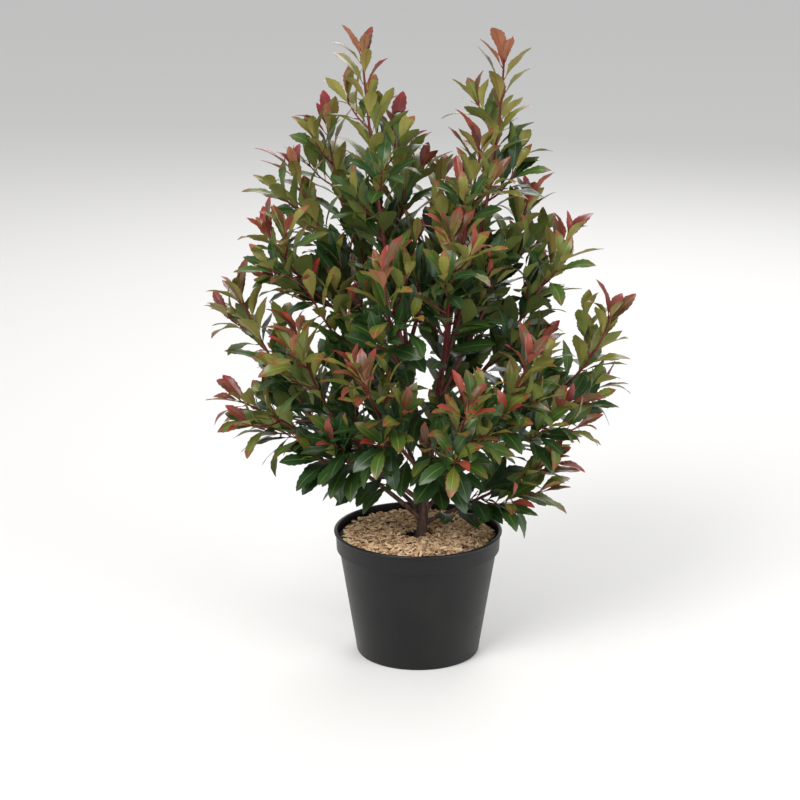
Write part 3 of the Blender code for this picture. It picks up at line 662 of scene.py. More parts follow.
TINTS = (
    Tint("deep_green", Kind.MATURE, (0.012, 0.038, 0.009), (0.016, 0.040, 0.009), (0.110, 0.145, 0.035),
         (0.075, 0.120, 0.026), (0.120, 0.035, 0.020), 0.40, 0.12),
    Tint("leaf_green", Kind.MATURE, (0.022, 0.062, 0.011), (0.030, 0.060, 0.011), (0.140, 0.175, 0.040),
         (0.105, 0.155, 0.034), (0.140, 0.035, 0.020), 0.40, 0.12),
    Tint("fresh_green", Kind.MATURE, (0.048, 0.098, 0.014), (0.085, 0.075, 0.014), (0.175, 0.200, 0.045),
         (0.150, 0.190, 0.040), (0.160, 0.035, 0.020), 0.40, 0.12),
    Tint("olive", Kind.MIDDLE, (0.105, 0.135, 0.018), (0.170, 0.060, 0.018), (0.240, 0.235, 0.055),
         (0.220, 0.190, 0.045), (0.200, 0.035, 0.022), 0.38, 0.15),
    Tint("yellow_olive", Kind.MIDDLE, (0.165, 0.170, 0.026), (0.210, 0.070, 0.022), (0.280, 0.260, 0.065),
         (0.270, 0.190, 0.055), (0.220, 0.035, 0.022), 0.38, 0.15),
    Tint("bronze", Kind.MIDDLE, (0.095, 0.048, 0.016), (0.180, 0.026, 0.016), (0.230, 0.190, 0.050),
         (0.200, 0.075, 0.034), (0.210, 0.028, 0.020), 0.36, 0.2),
    Tint("rose_brown", Kind.YOUNG, (0.150, 0.036, 0.022), (0.220, 0.022, 0.018), (0.300, 0.150, 0.070),
         (0.240, 0.045, 0.030), (0.230, 0.022, 0.020), 0.36, 0.2),
    Tint("crimson", Kind.YOUNG, (0.150, 0.016, 0.015), (0.210, 0.014, 0.014), (0.300, 0.080, 0.050),
         (0.240, 0.032, 0.026), (0.220, 0.018, 0.018), 0.36, 0.2),
    Tint("coral", Kind.YOUNG, (0.240, 0.048, 0.026), (0.280, 0.026, 0.018), (0.360, 0.150, 0.080),
         (0.320, 0.070, 0.042), (0.250, 0.024, 0.020), 0.38, 0.15),
)
# The youth up to which a leaf wears its spray's greens, and each tint from fresh green to bronze
GREEN_YOUTH = 0.42
GREEN_BANDS = 7
TINT_LIMITS = tuple(zip((0.54, 0.68, 0.84, 0.94), TINTS[2:6]))


# Meshes

SHARP_ANGLE = math.radians(35)
MERGE_DISTANCE = 1e-6
BOX_FACES = ((0, 1, 3, 2), (4, 6, 7, 5), (0, 4, 5, 1), (2, 3, 7, 6), (0, 2, 6, 4), (1, 5, 7, 3))


def rough_box(rng: np.random.Generator, least: float) -> Array:
    """A box's corners, each drawn in to between a least share of its reach and all of it."""
    return np.array(list(itertools.product((-1, 1), repeat=3))) * rng.uniform(least, 1.0, (8, 3))


def add_object(name: str, data: Any) -> Piece:
    """Puts some data into the scene.

    Args:
        name: the object's name.
        data: its mesh, light or camera.

    Returns:
        The object, at the origin.
    """
    made = bpy.data.objects.new(name, data)
    bpy.context.scene.collection.objects.link(made)
    return made


def make_mesh(name: str, points: Any, faces: Faces, smooth: bool = True) -> Piece:
    """Makes an object from points and faces.

    Args:
        name: its name.
        points: its points.
        faces: its faces, as numbers of points.
        smooth: whether its faces are shaded smooth.

    Returns:
        The object, at the origin.
    """
    mesh = bpy.data.meshes.new(name)
    mesh.from_pydata(np.asarray(points).tolist(), [], [tuple(face) for face in faces])
    mesh.polygons.foreach_set("use_smooth", [smooth] * len(mesh.polygons))
    mesh.update()
    return add_object(name, mesh)


def only(target: Piece) -> None:
    """Selects one object and makes it the active one.

    Args:
        target: the object.
    """
    for other in bpy.context.selected_objects:
        other.select_set(False)
    target.select_set(True)
    bpy.context.view_layer.objects.active = target


def lathe(name: str, profile: Sequence[Sequence[float]], steps: int) -> Piece:
    """Spins an outline round the Z axis in edit mode.

    Args:
        name: the object's name.
        profile: the outline's points, as radius and height.
        steps: how many faces go round.

    Returns:
        The object, shaded smooth between its sharp edges.
    """
    mesh = bpy.data.meshes.new(name)
    edges = [(k, k + 1) for k in range(len(profile) - 1)]
    mesh.from_pydata([(radius, 0.0, height) for radius, height in profile], edges, [])
    made = add_object(name, mesh)
    only(made)
    bpy.ops.object.mode_set(mode="EDIT")
    bpy.ops.mesh.select_all(action="SELECT")
    bpy.ops.mesh.spin(steps=steps, angle=2 * math.pi, center=(0, 0, 0), axis=(0, 0, 1))
    bpy.ops.mesh.select_all(action="SELECT")
    bpy.ops.mesh.remove_doubles(threshold=MERGE_DISTANCE)
    bpy.ops.mesh.normals_make_consistent(inside=False)
    bpy.ops.object.mode_set(mode="OBJECT")
    mesh.shade_smooth()
    mesh.set_sharp_from_angle(angle=SHARP_ANGLE)
    return made


def tube_arrays(centres: Array, radii: Array, sides: int, side: Array) -> tuple[Array, list[tuple[int, ...]]]:
    """Sets rings square to a line and joins them, with both ends closed.

    Args:
        centres: the rings' middles.
        radii: each ring's radius, or its radii round it.
        sides: how many points a ring has.
        side: the direction of the first ring's first point.

    Returns:
        The points, and the faces between them.
    """
    angles = np.arange(sides) * (2 * math.pi / sides)
    rings = []
    for centre, direction, radius in zip(centres, np.gradient(centres, axis=0), radii):
        direction = unit(direction)
        side = squared(side, direction)
        ring = np.outer(np.cos(angles), side) + np.outer(np.sin(angles), np.cross(direction, side))
        rings.append(centre + np.broadcast_to(radius, (sides,))[:, None] * ring)
    last = (len(rings) - 1) * sides
    faces: list[tuple[int, ...]] = [tuple(reversed(range(sides)))]
    for low, k in itertools.product(range(0, last, sides), range(sides)):
        following = (k + 1) % sides
        faces.append((low + k, low + following, low + sides + following, low + sides + k))
    faces.append(tuple(range(last, last + sides)))
    return np.concatenate(rings), faces


@dataclass
class Heap:
    """Many small meshes gathered into one."""

    points: list[Array] = field(default_factory=list)
    faces: list[tuple[int, ...]] = field(default_factory=list)
    slots: list[int] = field(default_factory=list)
    ages: list[Array] = field(default_factory=list)
    count: int = 0

    def put(self, points: Array, faces: Faces, slot: int = 0, age: float | Array = 0.0) -> None:
        """Adds one small mesh.

        Args:
            points: its points.
            faces: its faces, counted from its own first point.
            slot: the number of its material.
            age: how old its bark is, from 0 to 1, for all or for each point.
        """
        moved = [tuple(self.count + k for k in face) for face in faces]
        self.faces += moved
        self.slots += [slot] * len(moved)
        self.points.append(points)
        self.ages.append(np.broadcast_to(age, (len(points),)))
        self.count += len(points)

    def build(self, name: str, materials: Iterable[Material], smooth: bool = True) -> Piece:
        """Makes the gathered object.

        Args:
            name: its name.
            materials: its materials, in the order of the slots.
            smooth: whether its faces are shaded smooth.

        Returns:
            The object.
        """
        made = make_mesh(name, np.concatenate(self.points), self.faces, smooth)
        for material in materials:
            made.data.materials.append(material)
        made.data.polygons.foreach_set("material_index", self.slots)
        age = made.data.attributes.new("age", "FLOAT", "POINT")
        age.data.foreach_set("value", np.concatenate(self.ages).astype(np.float32))
        return made


def place_piece(piece: Piece, nodes: Sequence[str]) -> None:
    """Puts a piece on the part's one body and hides the nodes that it replaces.

    Args:
        piece: the piece.
        nodes: the nodes that it replaces.
    """
    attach(piece, "root")
    if nodes:
        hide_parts(*nodes)
    LOG.info("%s: %d triangles", piece.name, sum(len(face.vertices) - 2 for face in piece.data.polygons))


# The pot and what fills it


@dataclass
class Pot:
    """The round moulded pot, with its band, rolled lip, drain channel and drain holes."""

    steps: int = 128
    hole_sides: int = 24
    ease: float = 0.0006
    lip_arc: tuple[int, int, int] = (-60, 200, 20)
    cut_below: float = 0.01
    cut_above: float = 0.02
    finish: PlasticFinish = PlasticFinish()

    def wall_radius(self, height: float) -> float:
        """The outer radius of the tapering body."""
        return FOOT_RADIUS + (BODY_TOP_RADIUS - FOOT_RADIUS) * height / (POT_HEIGHT - BAND_HEIGHT)

    def profile(self) -> list[Pair]:
        """Draws the section.

        Returns:
            Its points: underside, body, band, rolled lip, then down the inside.
        """
        band_low = POT_HEIGHT - BAND_HEIGHT
        band_radius = RIM_RADIUS - LIP_RADIUS
        rise = BASE_CHANNEL_RISE
        half = WALL / 2
        outside = [
            (0.0, 0.0),
            (BASE_DISC_RADIUS, 0.0),
            (BASE_DISC_RADIUS + rise, rise),
            (BASE_CHANNEL_OUT, rise),
            (BASE_CHANNEL_OUT + rise, 0.0),
            (FOOT_RADIUS - WALL, 0.0),
            (FOOT_RADIUS - WALL / 4, WALL / 4),
            (self.wall_radius(WALL), WALL),
            (self.wall_radius(band_low * 0.5), band_low * 0.5),
            (BODY_TOP_RADIUS, band_low - self.ease),
            (BODY_TOP_RADIUS + self.ease, band_low),
            (band_radius - BAND_DRAFT - self.ease, band_low),
            (band_radius - BAND_DRAFT, band_low + self.ease),
            (band_radius, POT_HEIGHT - 2 * LIP_RADIUS),
        ]
        turns = [math.radians(degrees) for degrees in range(*self.lip_arc)]
        centre = (band_radius, POT_HEIGHT - LIP_RADIUS)
        lip = [(centre[0] + LIP_RADIUS * math.cos(t), centre[1] + LIP_RADIUS * math.sin(t)) for t in turns]
        inside = [
            (band_radius - BAND_DRAFT - WALL, band_low + WALL),
            (BODY_TOP_RADIUS - WALL, band_low - WALL),
            (self.wall_radius(2 * WALL) - WALL, 2 * WALL),
            (BASE_CHANNEL_OUT + half + rise, WALL),
            (BASE_CHANNEL_OUT + half, rise + WALL),
            (BASE_DISC_RADIUS - half + rise, rise + WALL),
            (BASE_DISC_RADIUS - half, WALL),
            (0.0, WALL),
        ]
        return outside + lip + inside

    def build(self) -> None:
        """Spins the pot, cuts its drain holes and dresses it."""
        pot = lathe("nursery_pot", self.profile(), self.steps)
        cutters = Heap()
        for k in range(DRAIN_COUNT):
            middle = around(DRAIN_RING_RADIUS, 2 * math.pi * (k + 0.5) / DRAIN_COUNT, 0.0)
            ends = np.array([middle - UP * self.cut_below, middle + UP * self.cut_above])
            radii = np.full(2, DRAIN_RADIUS)
            cutters.put(*tube_arrays(ends, radii, self.hole_sides, np.array([1.0, 0.0, 0.0])))
        cutter = cutters.build("drain_cutter", [])
        only(pot)
        cut = pot.modifiers.new("drain_holes", "BOOLEAN")
        cut.object = cutter
        cut.operation = "DIFFERENCE"
        cut.solver = "EXACT"
        bpy.ops.object.modifier_apply(modifier=cut.name)
        bpy.data.objects.remove(cutter)
        pot.data.materials.append(self.finish.material())
        place_piece(pot, ["pot"])


@dataclass
class PottingMix:
    """The dark mix, which shows in the hollow round the stem."""

    crumbs: int = 260
    crumb_sizes: Pair = (0.0007, 0.0021)
    spread: Pair = (0.16, 1.35)
    edge_lift: float = 0.4
    stretch: Pair = (0.6, 1.3)
    seed: int = 11
    finish: SoilFinish = SoilFinish()

    def build(self) -> None:
        """Dresses the mix's own solid and strews crumbs in the hollow."""
        node = frame["nodes"]["potting_mix"]
        node.data.materials.clear()
        node.data.materials.append(self.finish.material("dark_potting_mix"))
        rng = np.random.default_rng(self.seed)
        heap = Heap()
        for _ in range(self.crumbs):
            radius = HOLLOW_RADIUS * math.sqrt(rng.uniform(*self.spread))
            angle = rng.uniform(0, 2 * math.pi)
            size = rng.uniform(*self.crumb_sizes)
            lift = SOIL_TOP + SOIL_MOUND * (1.0 if radius < HOLLOW_RADIUS - SOIL_MOUND else self.edge_lift)
            corners = rough_box(rng, 0.6) * size * rng.uniform(*self.stretch, 3)
            heap.put(around(radius, angle, lift + size * 0.3) + corners, BOX_FACES)
        place_piece(heap.build("soil_crumbs", [self.finish.material("soil_crumbs")]), [])


@dataclass
class ChipPile:
    """Loose splintered wood chips on the mix, level with the pot's lip, over a bed whose dark browns are
    painted shade.
    """

    chips: int = 2100
    lengths: Pair = (0.004, 0.0150)
    widths: Pair = (0.0010, 0.0036)
    depths: Pair = (0.0005, 0.0014)
    half_share: float = 0.62
    tilt: float = 0.26
    roll: float = 0.5
    sunk: float = 0.0028
    edge_room: float = 0.75
    stem_room: float = 0.002
    pale_share: float = 1.25
    hollow_depth: float = 0.004
    hollow_fade: float = 22
    bed_depth: float = 0.003
    bed_rings: int = 14
    bed_steps: int = 64
    seed: int = 4
    tints: tuple[Colour, ...] = (
        (0.660, 0.450, 0.260),
        (0.780, 0.590, 0.390),
        (0.560, 0.350, 0.180),
        (0.700, 0.510, 0.320),
        (0.380, 0.220, 0.115),
        (0.200, 0.115, 0.065),
    )
    # The bed's dark browns are painted shade, standing for the deeper chips in shadow between the top ones.
    shaded_bed_finish: SoilFinish = SoilFinish((0.030, 0.018, 0.010), (0.160, 0.100, 0.055))

    def surface(self, radius: float) -> float:
        """Works out the top of the pile, which is a dome with a hollow round the stem.

        Args:
            radius: how far from the middle.

        Returns:
            The height.
        """
        outer = RIM_RADIUS - 2 * LIP_RADIUS
        share = min(1.0, max(0.0, (radius - HOLLOW_RADIUS) / (outer - HOLLOW_RADIUS)))
        dome = MULCH_DOME * math.sin(math.pi * (1 + 3 * share) / 4)
        return MULCH_EDGE_TOP + dome - self.hollow_depth * math.exp(-share * self.hollow_fade)

    def bed(self) -> list[Pair]:
        """Draws the section of the bed below the chips, a dark sheet of painted shade.

        Returns:
            Its closed outline, from the inside over the top to the outside.
        """
        inner, outer = HOLLOW_RADIUS + SOIL_MOUND + GAP, RIM_RADIUS - 2 * LIP_RADIUS - WALL
        foot = SOIL_TOP + GAP
        rings = np.linspace(inner, outer, self.bed_rings)
        top = [(radius, self.surface(radius) - self.bed_depth) for radius in rings]
        return [(inner, foot), *top, (BODY_TOP_RADIUS - WALL - 2 * GAP, foot), (inner, foot)]

    def chip(self, rng: np.random.Generator) -> Array:
        """Lays one splinter on the pile.

        Args:
            rng: the source of chance.

        Returns:
            Its eight corners.
        """
        long = rng.uniform(*self.lengths)
        reach = RIM_RADIUS - 2 * LIP_RADIUS - WALL - long * self.edge_room
        radius = math.sqrt(rng.uniform((HOLLOW_RADIUS + self.stem_room) ** 2, reach**2))
        angle = rng.uniform(0, 2 * math.pi)
        size = np.array([long, rng.uniform(*self.widths), rng.uniform(*self.depths)])
        corners = rough_box(rng, 0.55) * size * self.half_share
        spin, tilt, roll = rng.uniform(0, 2 * math.pi), rng.normal(0, self.tilt), rng.normal(0, self.roll)
        corners = corners @ np.array(Euler((roll, -tilt, spin)).to_matrix()).T
        return corners + around(radius, angle, self.surface(radius) - rng.uniform(0.0, self.sunk))

    def build(self) -> None:
        """Makes the bed of painted shade and the chips as one piece."""
        bed = lathe("painted_shade_chip_bed", self.bed(), self.bed_steps)
        points = np.array([vertex.co for vertex in bed.data.vertices])
        rng = np.random.default_rng(self.seed)
        heap = Heap()
        heap.put(points, [tuple(face.vertices) for face in bed.data.polygons], len(self.tints))
        bpy.data.objects.remove(bed)
        for _ in range(self.chips):
            corners = self.chip(rng)
            slot = min(len(self.tints) - 1, int(rng.uniform() ** self.pale_share * len(self.tints)))
            heap.put(corners, BOX_FACES, slot)
        materials = [plain(f"wood_chip_{k}", tint, 0.85) for k, tint in enumerate(self.tints)]
        # The bed's material is painted shade in the gaps between the chips.
        materials.append(self.shaded_bed_finish.material("painted_shade_chip_bed"))
        place_piece(heap.build("wood_chips", materials, smooth=False), ["wood_chip_mulch"])


# The stems


@dataclass
class Wood:
    """The main stem and the boughs in one mesh, with the bark's relief."""

    axes: dict[str, Axis]
    material: Material
    sides: int = 18
    step: float = 0.0016
    furrows: tuple[tuple[int, float], ...] = ((3, 140.0), (5, 260.0), (7, 420.0))
    furrow_share: float = 0.035
    wander: float = 1.4
    scar_share: float = 0.13
    scar_width: float = 0.0012
    first_scar: float = 0.010
    scar_step: float = 1.7 * LEAF_STEP
    collar_share: float = 0.35
    collar_length: float = 0.006
    oldest: float = 1.15
    old_height: float = 0.17

    def relief(self, along: Array, radii: Array, seed: int) -> Array:
        """Gives each ring shallow furrows and the rings of old leaf scars.

        Args:
            along: how far along the limb each ring stands.
            radii: the rings' radii.
            seed: what the furrows are drawn from.

        Returns:
            The radii round each ring.
        """
        rng = np.random.default_rng(seed)
        angles = np.arange(self.sides) * (2 * math.pi / self.sides)
        furrows = np.zeros((len(along), self.sides))
        for turns, pitch in self.furrows:
            shift = rng.uniform(0, 2 * math.pi, 2)
            wander = self.wander * np.sin(pitch * along[:, None] + shift[1])
            furrows += np.sin(turns * angles[None] + shift[0] + wander) / turns
        scars = np.zeros_like(furrows)
        for k, centre in enumerate(np.arange(self.first_scar, float(along[-1]), self.scar_step)):
            near = np.exp(-(((along[:, None] - centre) / self.scar_width) ** 2))
            scars += near * np.clip(np.cos(angles - k * STEM_TURN), 0, 1)[None] ** 2
        return radii[:, None] * (1 + self.furrow_share * furrows + self.scar_share * scars)

    def limb(self, heap: Heap, name: str, high: float, seed: int) -> None:
        """Adds one limb, from inside what carries it.

        Args:
            heap: what it is added to.
            name: its axis's name.
            high: the share of the axis where it ends.
            seed: what its furrows are drawn from.
        """
        axis = self.axes[name]
        shares = np.linspace(0.0, high, max(6, int(high * axis.length / self.step)))
        along, radii = shares * axis.length, axis.radius(shares)
        trunk = name == "main_stem"
        if trunk:
            radii = radii + (FLARE_RADIUS - STEM_RADIUS) * np.exp(-along / FLARE_FADE)
        else:
            collar = np.exp(-(((along - self.collar_length) / self.collar_length) ** 2))
            radii = radii * (1 + self.collar_share * collar)
        rings = self.relief(along, radii, seed)
        points, faces = tube_arrays(axis.at(shares), rings, self.sides, axis.side(0.0))
        if trunk:
            points[: self.sides, 2] = STEM_FOOT[2]
        age = self.oldest - (points[:, 2] - STEM_FOOT[2]) / self.old_height
        heap.put(points, faces, 0, np.clip(age, 0.0, 1.0))

    def build(self) -> None:
        """Builds every limb into one piece."""
        heap = Heap()
        self.limb(heap, "main_stem", 1.0, 1)
        for index, shoot in enumerate(SHOOTS):
            self.limb(heap, shoot.name, shoot.bare, index + 2)
        made = heap.build("stems_and_boughs", [self.material])
        place_piece(made, ["main_stem", *BOUGH_NODES])


# The leaves


@dataclass(frozen=True)
class LeafPlace:
    """Where one leaf stands and how it is shaped."""

    root: Array
    along: Array
    face: Array
    length: float
    radius: float
    fold: float
    recurve: float
    phase: float
    width: float


class Room:
    """The space of each mass: the points nearer to its stem than to any other's."""

    def __init__(self, axes: dict[str, Axis]) -> None:
        """Gathers the leafy stems, and the bare limbs that leaves keep clear of.

        Args:
            axes: the axes of the main stem and of every shoot, by name.
        """
        trunk = axes["main_stem"]
        stems, owners = [], []
        limbs, radii = [trunk.points], [np.full(len(trunk.points), STEM_RADIUS)]
        for index, shoot in enumerate(SHOOTS):
            axis = axes[shoot.name]
            leafy = axis.shares >= shoot.bare
            stems.append(axis.points[leafy])
            owners.append(np.full(leafy.sum(), index))
            limbs.append(axis.points[~leafy])
            radii.append(axis.radius(axis.shares[~leafy]))
        self.stems, self.owners = np.concatenate(stems), np.concatenate(owners)
        self.limbs, self.limb_radii = np.concatenate(limbs), np.concatenate(radii)

    def holds(self, points: Array, owner: int) -> bool:
        """Tells whether points keep to their owner's space and clear of every limb.

        Args:
            points: the points.
            owner: the number of the mass that they belong to.

        Returns:
            Whether they all do.
        """
        low, high = np.array(CAD_BOX[0]), np.array(CAD_BOX[1])
        outside = (points < low - BOX_MARGIN).any() or (points > high + BOX_MARGIN).any()
        if outside or points[:, 2].min() < LOWEST_LEAF:
            return False
        gaps = np.linalg.norm(points[:, None] - self.stems[None], axis=2)
        own = gaps[:, self.owners == owner].min(axis=1)
        others = gaps[:, self.owners != owner].min(axis=1)
        if (own + SPACE_MARGIN > others - SPACE_MARGIN).any():
            return False
        to_limbs = np.linalg.norm(points[:, None] - self.limbs[None], axis=2) - self.limb_radii
        return bool(to_limbs.min() > LIMB_CLEAR)


@dataclass
class Mass:
    """One leafy mass: its stem, its side twigs, and the leaves on all of them."""

    index: int
    shoot: Shoot
    axis: Axis
    room: Room
    leaves: list[tuple[Tint, LeafPlace]] = field(default_factory=list)
    twigs: list[Axis] = field(default_factory=list)

    def __post_init__(self) -> None:
        """Sets up the mass's own source of chance, and the greens and reds that it wears."""
        self.rng = random.Random(FIRST_SEED + self.index)
        self.low = self.shoot.bare
        self.greens = [self.rng.choice(TINTS[:2]) for _ in range(3)]
        self.reds = [self.rng.choice(TINTS[6:]) for _ in range(2)]

    def tint(self, youth: float) -> Tint:
        """Picks the tint of a leaf.

        Args:
            youth: from 0, low on the stem, to 1 at its tip.

        Returns:
            The tint.
        """
        youth += YOUTH_SHIFT.pick(self.rng)
        if youth < GREEN_YOUTH:
            return self.greens[int(max(youth, 0.0) * GREEN_BANDS) % len(self.greens)]
        for limit, tint in TINT_LIMITS:
            if youth < limit:
                return tint
        return self.reds[0] if youth < 1.0 else self.reds[1]

    def grow(self) -> None:
        """Walks up the stem and sets a leaf, or a side twig with leaves, at each node."""
        leafy = 1.0 - self.low
        nodes = max(LEAST_NODES, int(leafy * self.axis.length / LEAF_STEP))
        turn = self.rng.uniform(0, 2 * math.pi)
        for k in range(nodes):
            climb = ((k + 0.6) / nodes) ** NODE_CROWDING
            share = self.low + leafy * climb
            if k % TWIG_EVERY == 0 and climb < TWIGS_UNTIL:
                self.grow_twig(share, turn, climb)
            size = STEM_LEAF_SIZE.pick(self.rng, climb)
            lean = STEM_LEAF_LEAN.pick(self.rng, climb)
            self.place(self.axis, share, turn, lean, size, climb)
            turn += STEM_TURN
        for k in range(CROWN_LEAVES):
            lean, size, youth = CROWN_LEAN.at(k), CROWN_SIZE.at(k), CROWN_YOUTH.at(k)
            self.place(self.axis, 1.0, k * STEM_TURN, lean, size, youth, CROWN_BACK.at(k))
        self.clothe_bough()

    def clothe_bough(self) -> None:
        """Sets old leaves on the upper part of the bough, below the leafy stretch."""
        turn = self.rng.uniform(0, 2 * math.pi)
        bare = self.low * self.axis.length
        for k in range(int(bare * BOUGH_CLOTHED / BOUGH_LEAF_STEP)):
            share = self.low - (k + 0.5) * BOUGH_LEAF_STEP / self.axis.length
            self.place(self.axis, share, turn, BOUGH_LEAF_LEAN.pick(self.rng), BOUGH_LEAF_SIZE, 0.0)
            turn += STEM_TURN

    def place(self, axis: Axis, share: float, turn: float, lean: float, size: float, youth: float,
              back: float = 0.0) -> None:
        """Tries a leaf as it comes, then turned and smaller, or leaves it out.

        Args:
            axis: the stem or twig that carries it.
            share: how far along the axis it stands.
            turn: which way round the axis it grows, in radians.
            lean: its angle from the axis, in degrees.
            size: its length against a full leaf's.
            youth: from 0, low on the stem, to 1 at its tip.
            back: how far below its place it starts.
        """
        node, direction, out = axis.node(share, turn)
        root = node - direction * back
        radius = axis.radius(share)
        forward, outward = math.cos(math.radians(lean)), math.sin(math.radians(lean))
        for smaller, swing in itertools.product(LEAF_SIZES_TRIED, LEAF_SWINGS_TRIED):
            side = turned(out, direction, swing)
            along = unit(direction * forward + side * outward + TOWARD_LIGHT)
            face = unit(UP + FACE_FORWARD * direction - FACE_INWARD * side)
            if abs(np.dot(face, along)) > EDGE_ON:
                face = -side
            length = LEAF_LENGTH * size * smaller
            if self.room.holds(self.outline(root, along, face, length, radius), self.index):
                fold = math.radians(FOLD.pick(self.rng, youth))
                recurve = math.radians(RECURVE.pick(self.rng))
                rolled = turned(face, along, math.radians(ROLL.pick(self.rng)))
                phase = self.rng.uniform(0, 2 * math.pi)
                width = LEAF_WIDTH / LEAF_LENGTH * length * (1.0 - YOUNG_NARROWER * max(0.0, youth))
                spot = LeafPlace(root, along, rolled, length, radius, fold, recurve, phase, width)
                self.leaves.append((self.tint(youth), spot))
                return

    @staticmethod
    def outline(root: Array, along: Array, face: Array, length: float, radius: float) -> Array:
        """Draws what a leaf takes up.

        Args:
            root: the point on the stem's line.
            along: the leaf's direction.
            face: the direction that its upper side faces.
            length: its length.
            radius: the stem's radius.

        Returns:
            Its neck and corners, and points along its edges and its midrib.
        """
        across = unit(np.cross(along, face))
        half = LEAF_WIDTH / LEAF_LENGTH * length / 2
        neck = root + along * (PETIOLE_LENGTH + radius)
        wide = root + along * (LEAF_WIDEST * length)
        left, right, tip = wide - across * half, wide + across * half, root + along * length
        pairs = ((left, tip), (right, tip), (neck, left), (neck, right), (neck, tip))
        return np.array([neck, left, right, tip] + [(first + second) / 2 for first, second in pairs])

    def grow_twig(self, share: float, turn: float, climb: float) -> None:
        """Grows a side twig that curves upward, with leaves round it, where there is room.

        Args:
            share: how far along the stem it starts.
            turn: which way round the stem it grows, in radians.
            climb: how far up the leafy stretch it stands, from 0 to 1.
        """
        root, direction, out = self.axis.node(share, turn)
        length = TWIG_LENGTH * TWIG_REACH.at(climb) * self.rng.uniform(*TWIG_SCATTER)
        for smaller, swing in itertools.product(TWIG_SIZES_TRIED, TWIG_SWINGS_TRIED):
            side = turned(out, direction, swing)
            reach = length * smaller
            middle = root + unit(direction * TWIG_START + side) * reach / 2
            onward = direction * TWIG_END[0] + side * TWIG_END[1] + UP * TWIG_END[2]
            line = bezier(root, middle, middle + unit(onward) * reach / 2, TWIG_POINTS)
            if self.room.holds(line[2:], self.index):
                twig = Axis(line, TWIG_RADIUS, TWIG_TIP_RADIUS)
                self.twigs.append(twig)
                self.dress_twig(twig, climb, reach)
                return

    def dress_twig(self, twig: Axis, climb: float, reach: float) -> None:
        """Sets the leaves round a side twig and at its tip.

        Args:
            twig: its axis.
            climb: how far up the leafy stretch it stands, from 0 to 1.
            reach: its length.
        """
        count = max(3, round(TWIG_LEAVES * reach / TWIG_LENGTH))
        turn = self.rng.uniform(0, 2 * math.pi)
        flush = self.rng.random() < FLUSH_CHANCE.at(climb)
        for k in range(count):
            share = TWIG_LEAF_PLACE.at(k / (count - 1))
            lean = TWIG_LEAF_LEAN.pick(self.rng, share)
            size = TWIG_LEAF_SIZE.at(share) + TWIG_SIZE_LOSS.at(climb)
            youth = TWIG_YOUTH.at(climb) + (FLUSH_YOUTH if flush else QUIET_YOUTH).at(share)
            self.place(twig, share, turn, lean, size, youth)
            turn += TWIG_TURN
        youth = (FLUSH_TIP_YOUTH if flush else QUIET_TIP_YOUTH).at(climb)
        for k in range(2):
            self.place(twig, 1.0, turn + k * math.pi, TWIG_TIP_LEAN, TWIG_TIP_SIZE, youth)


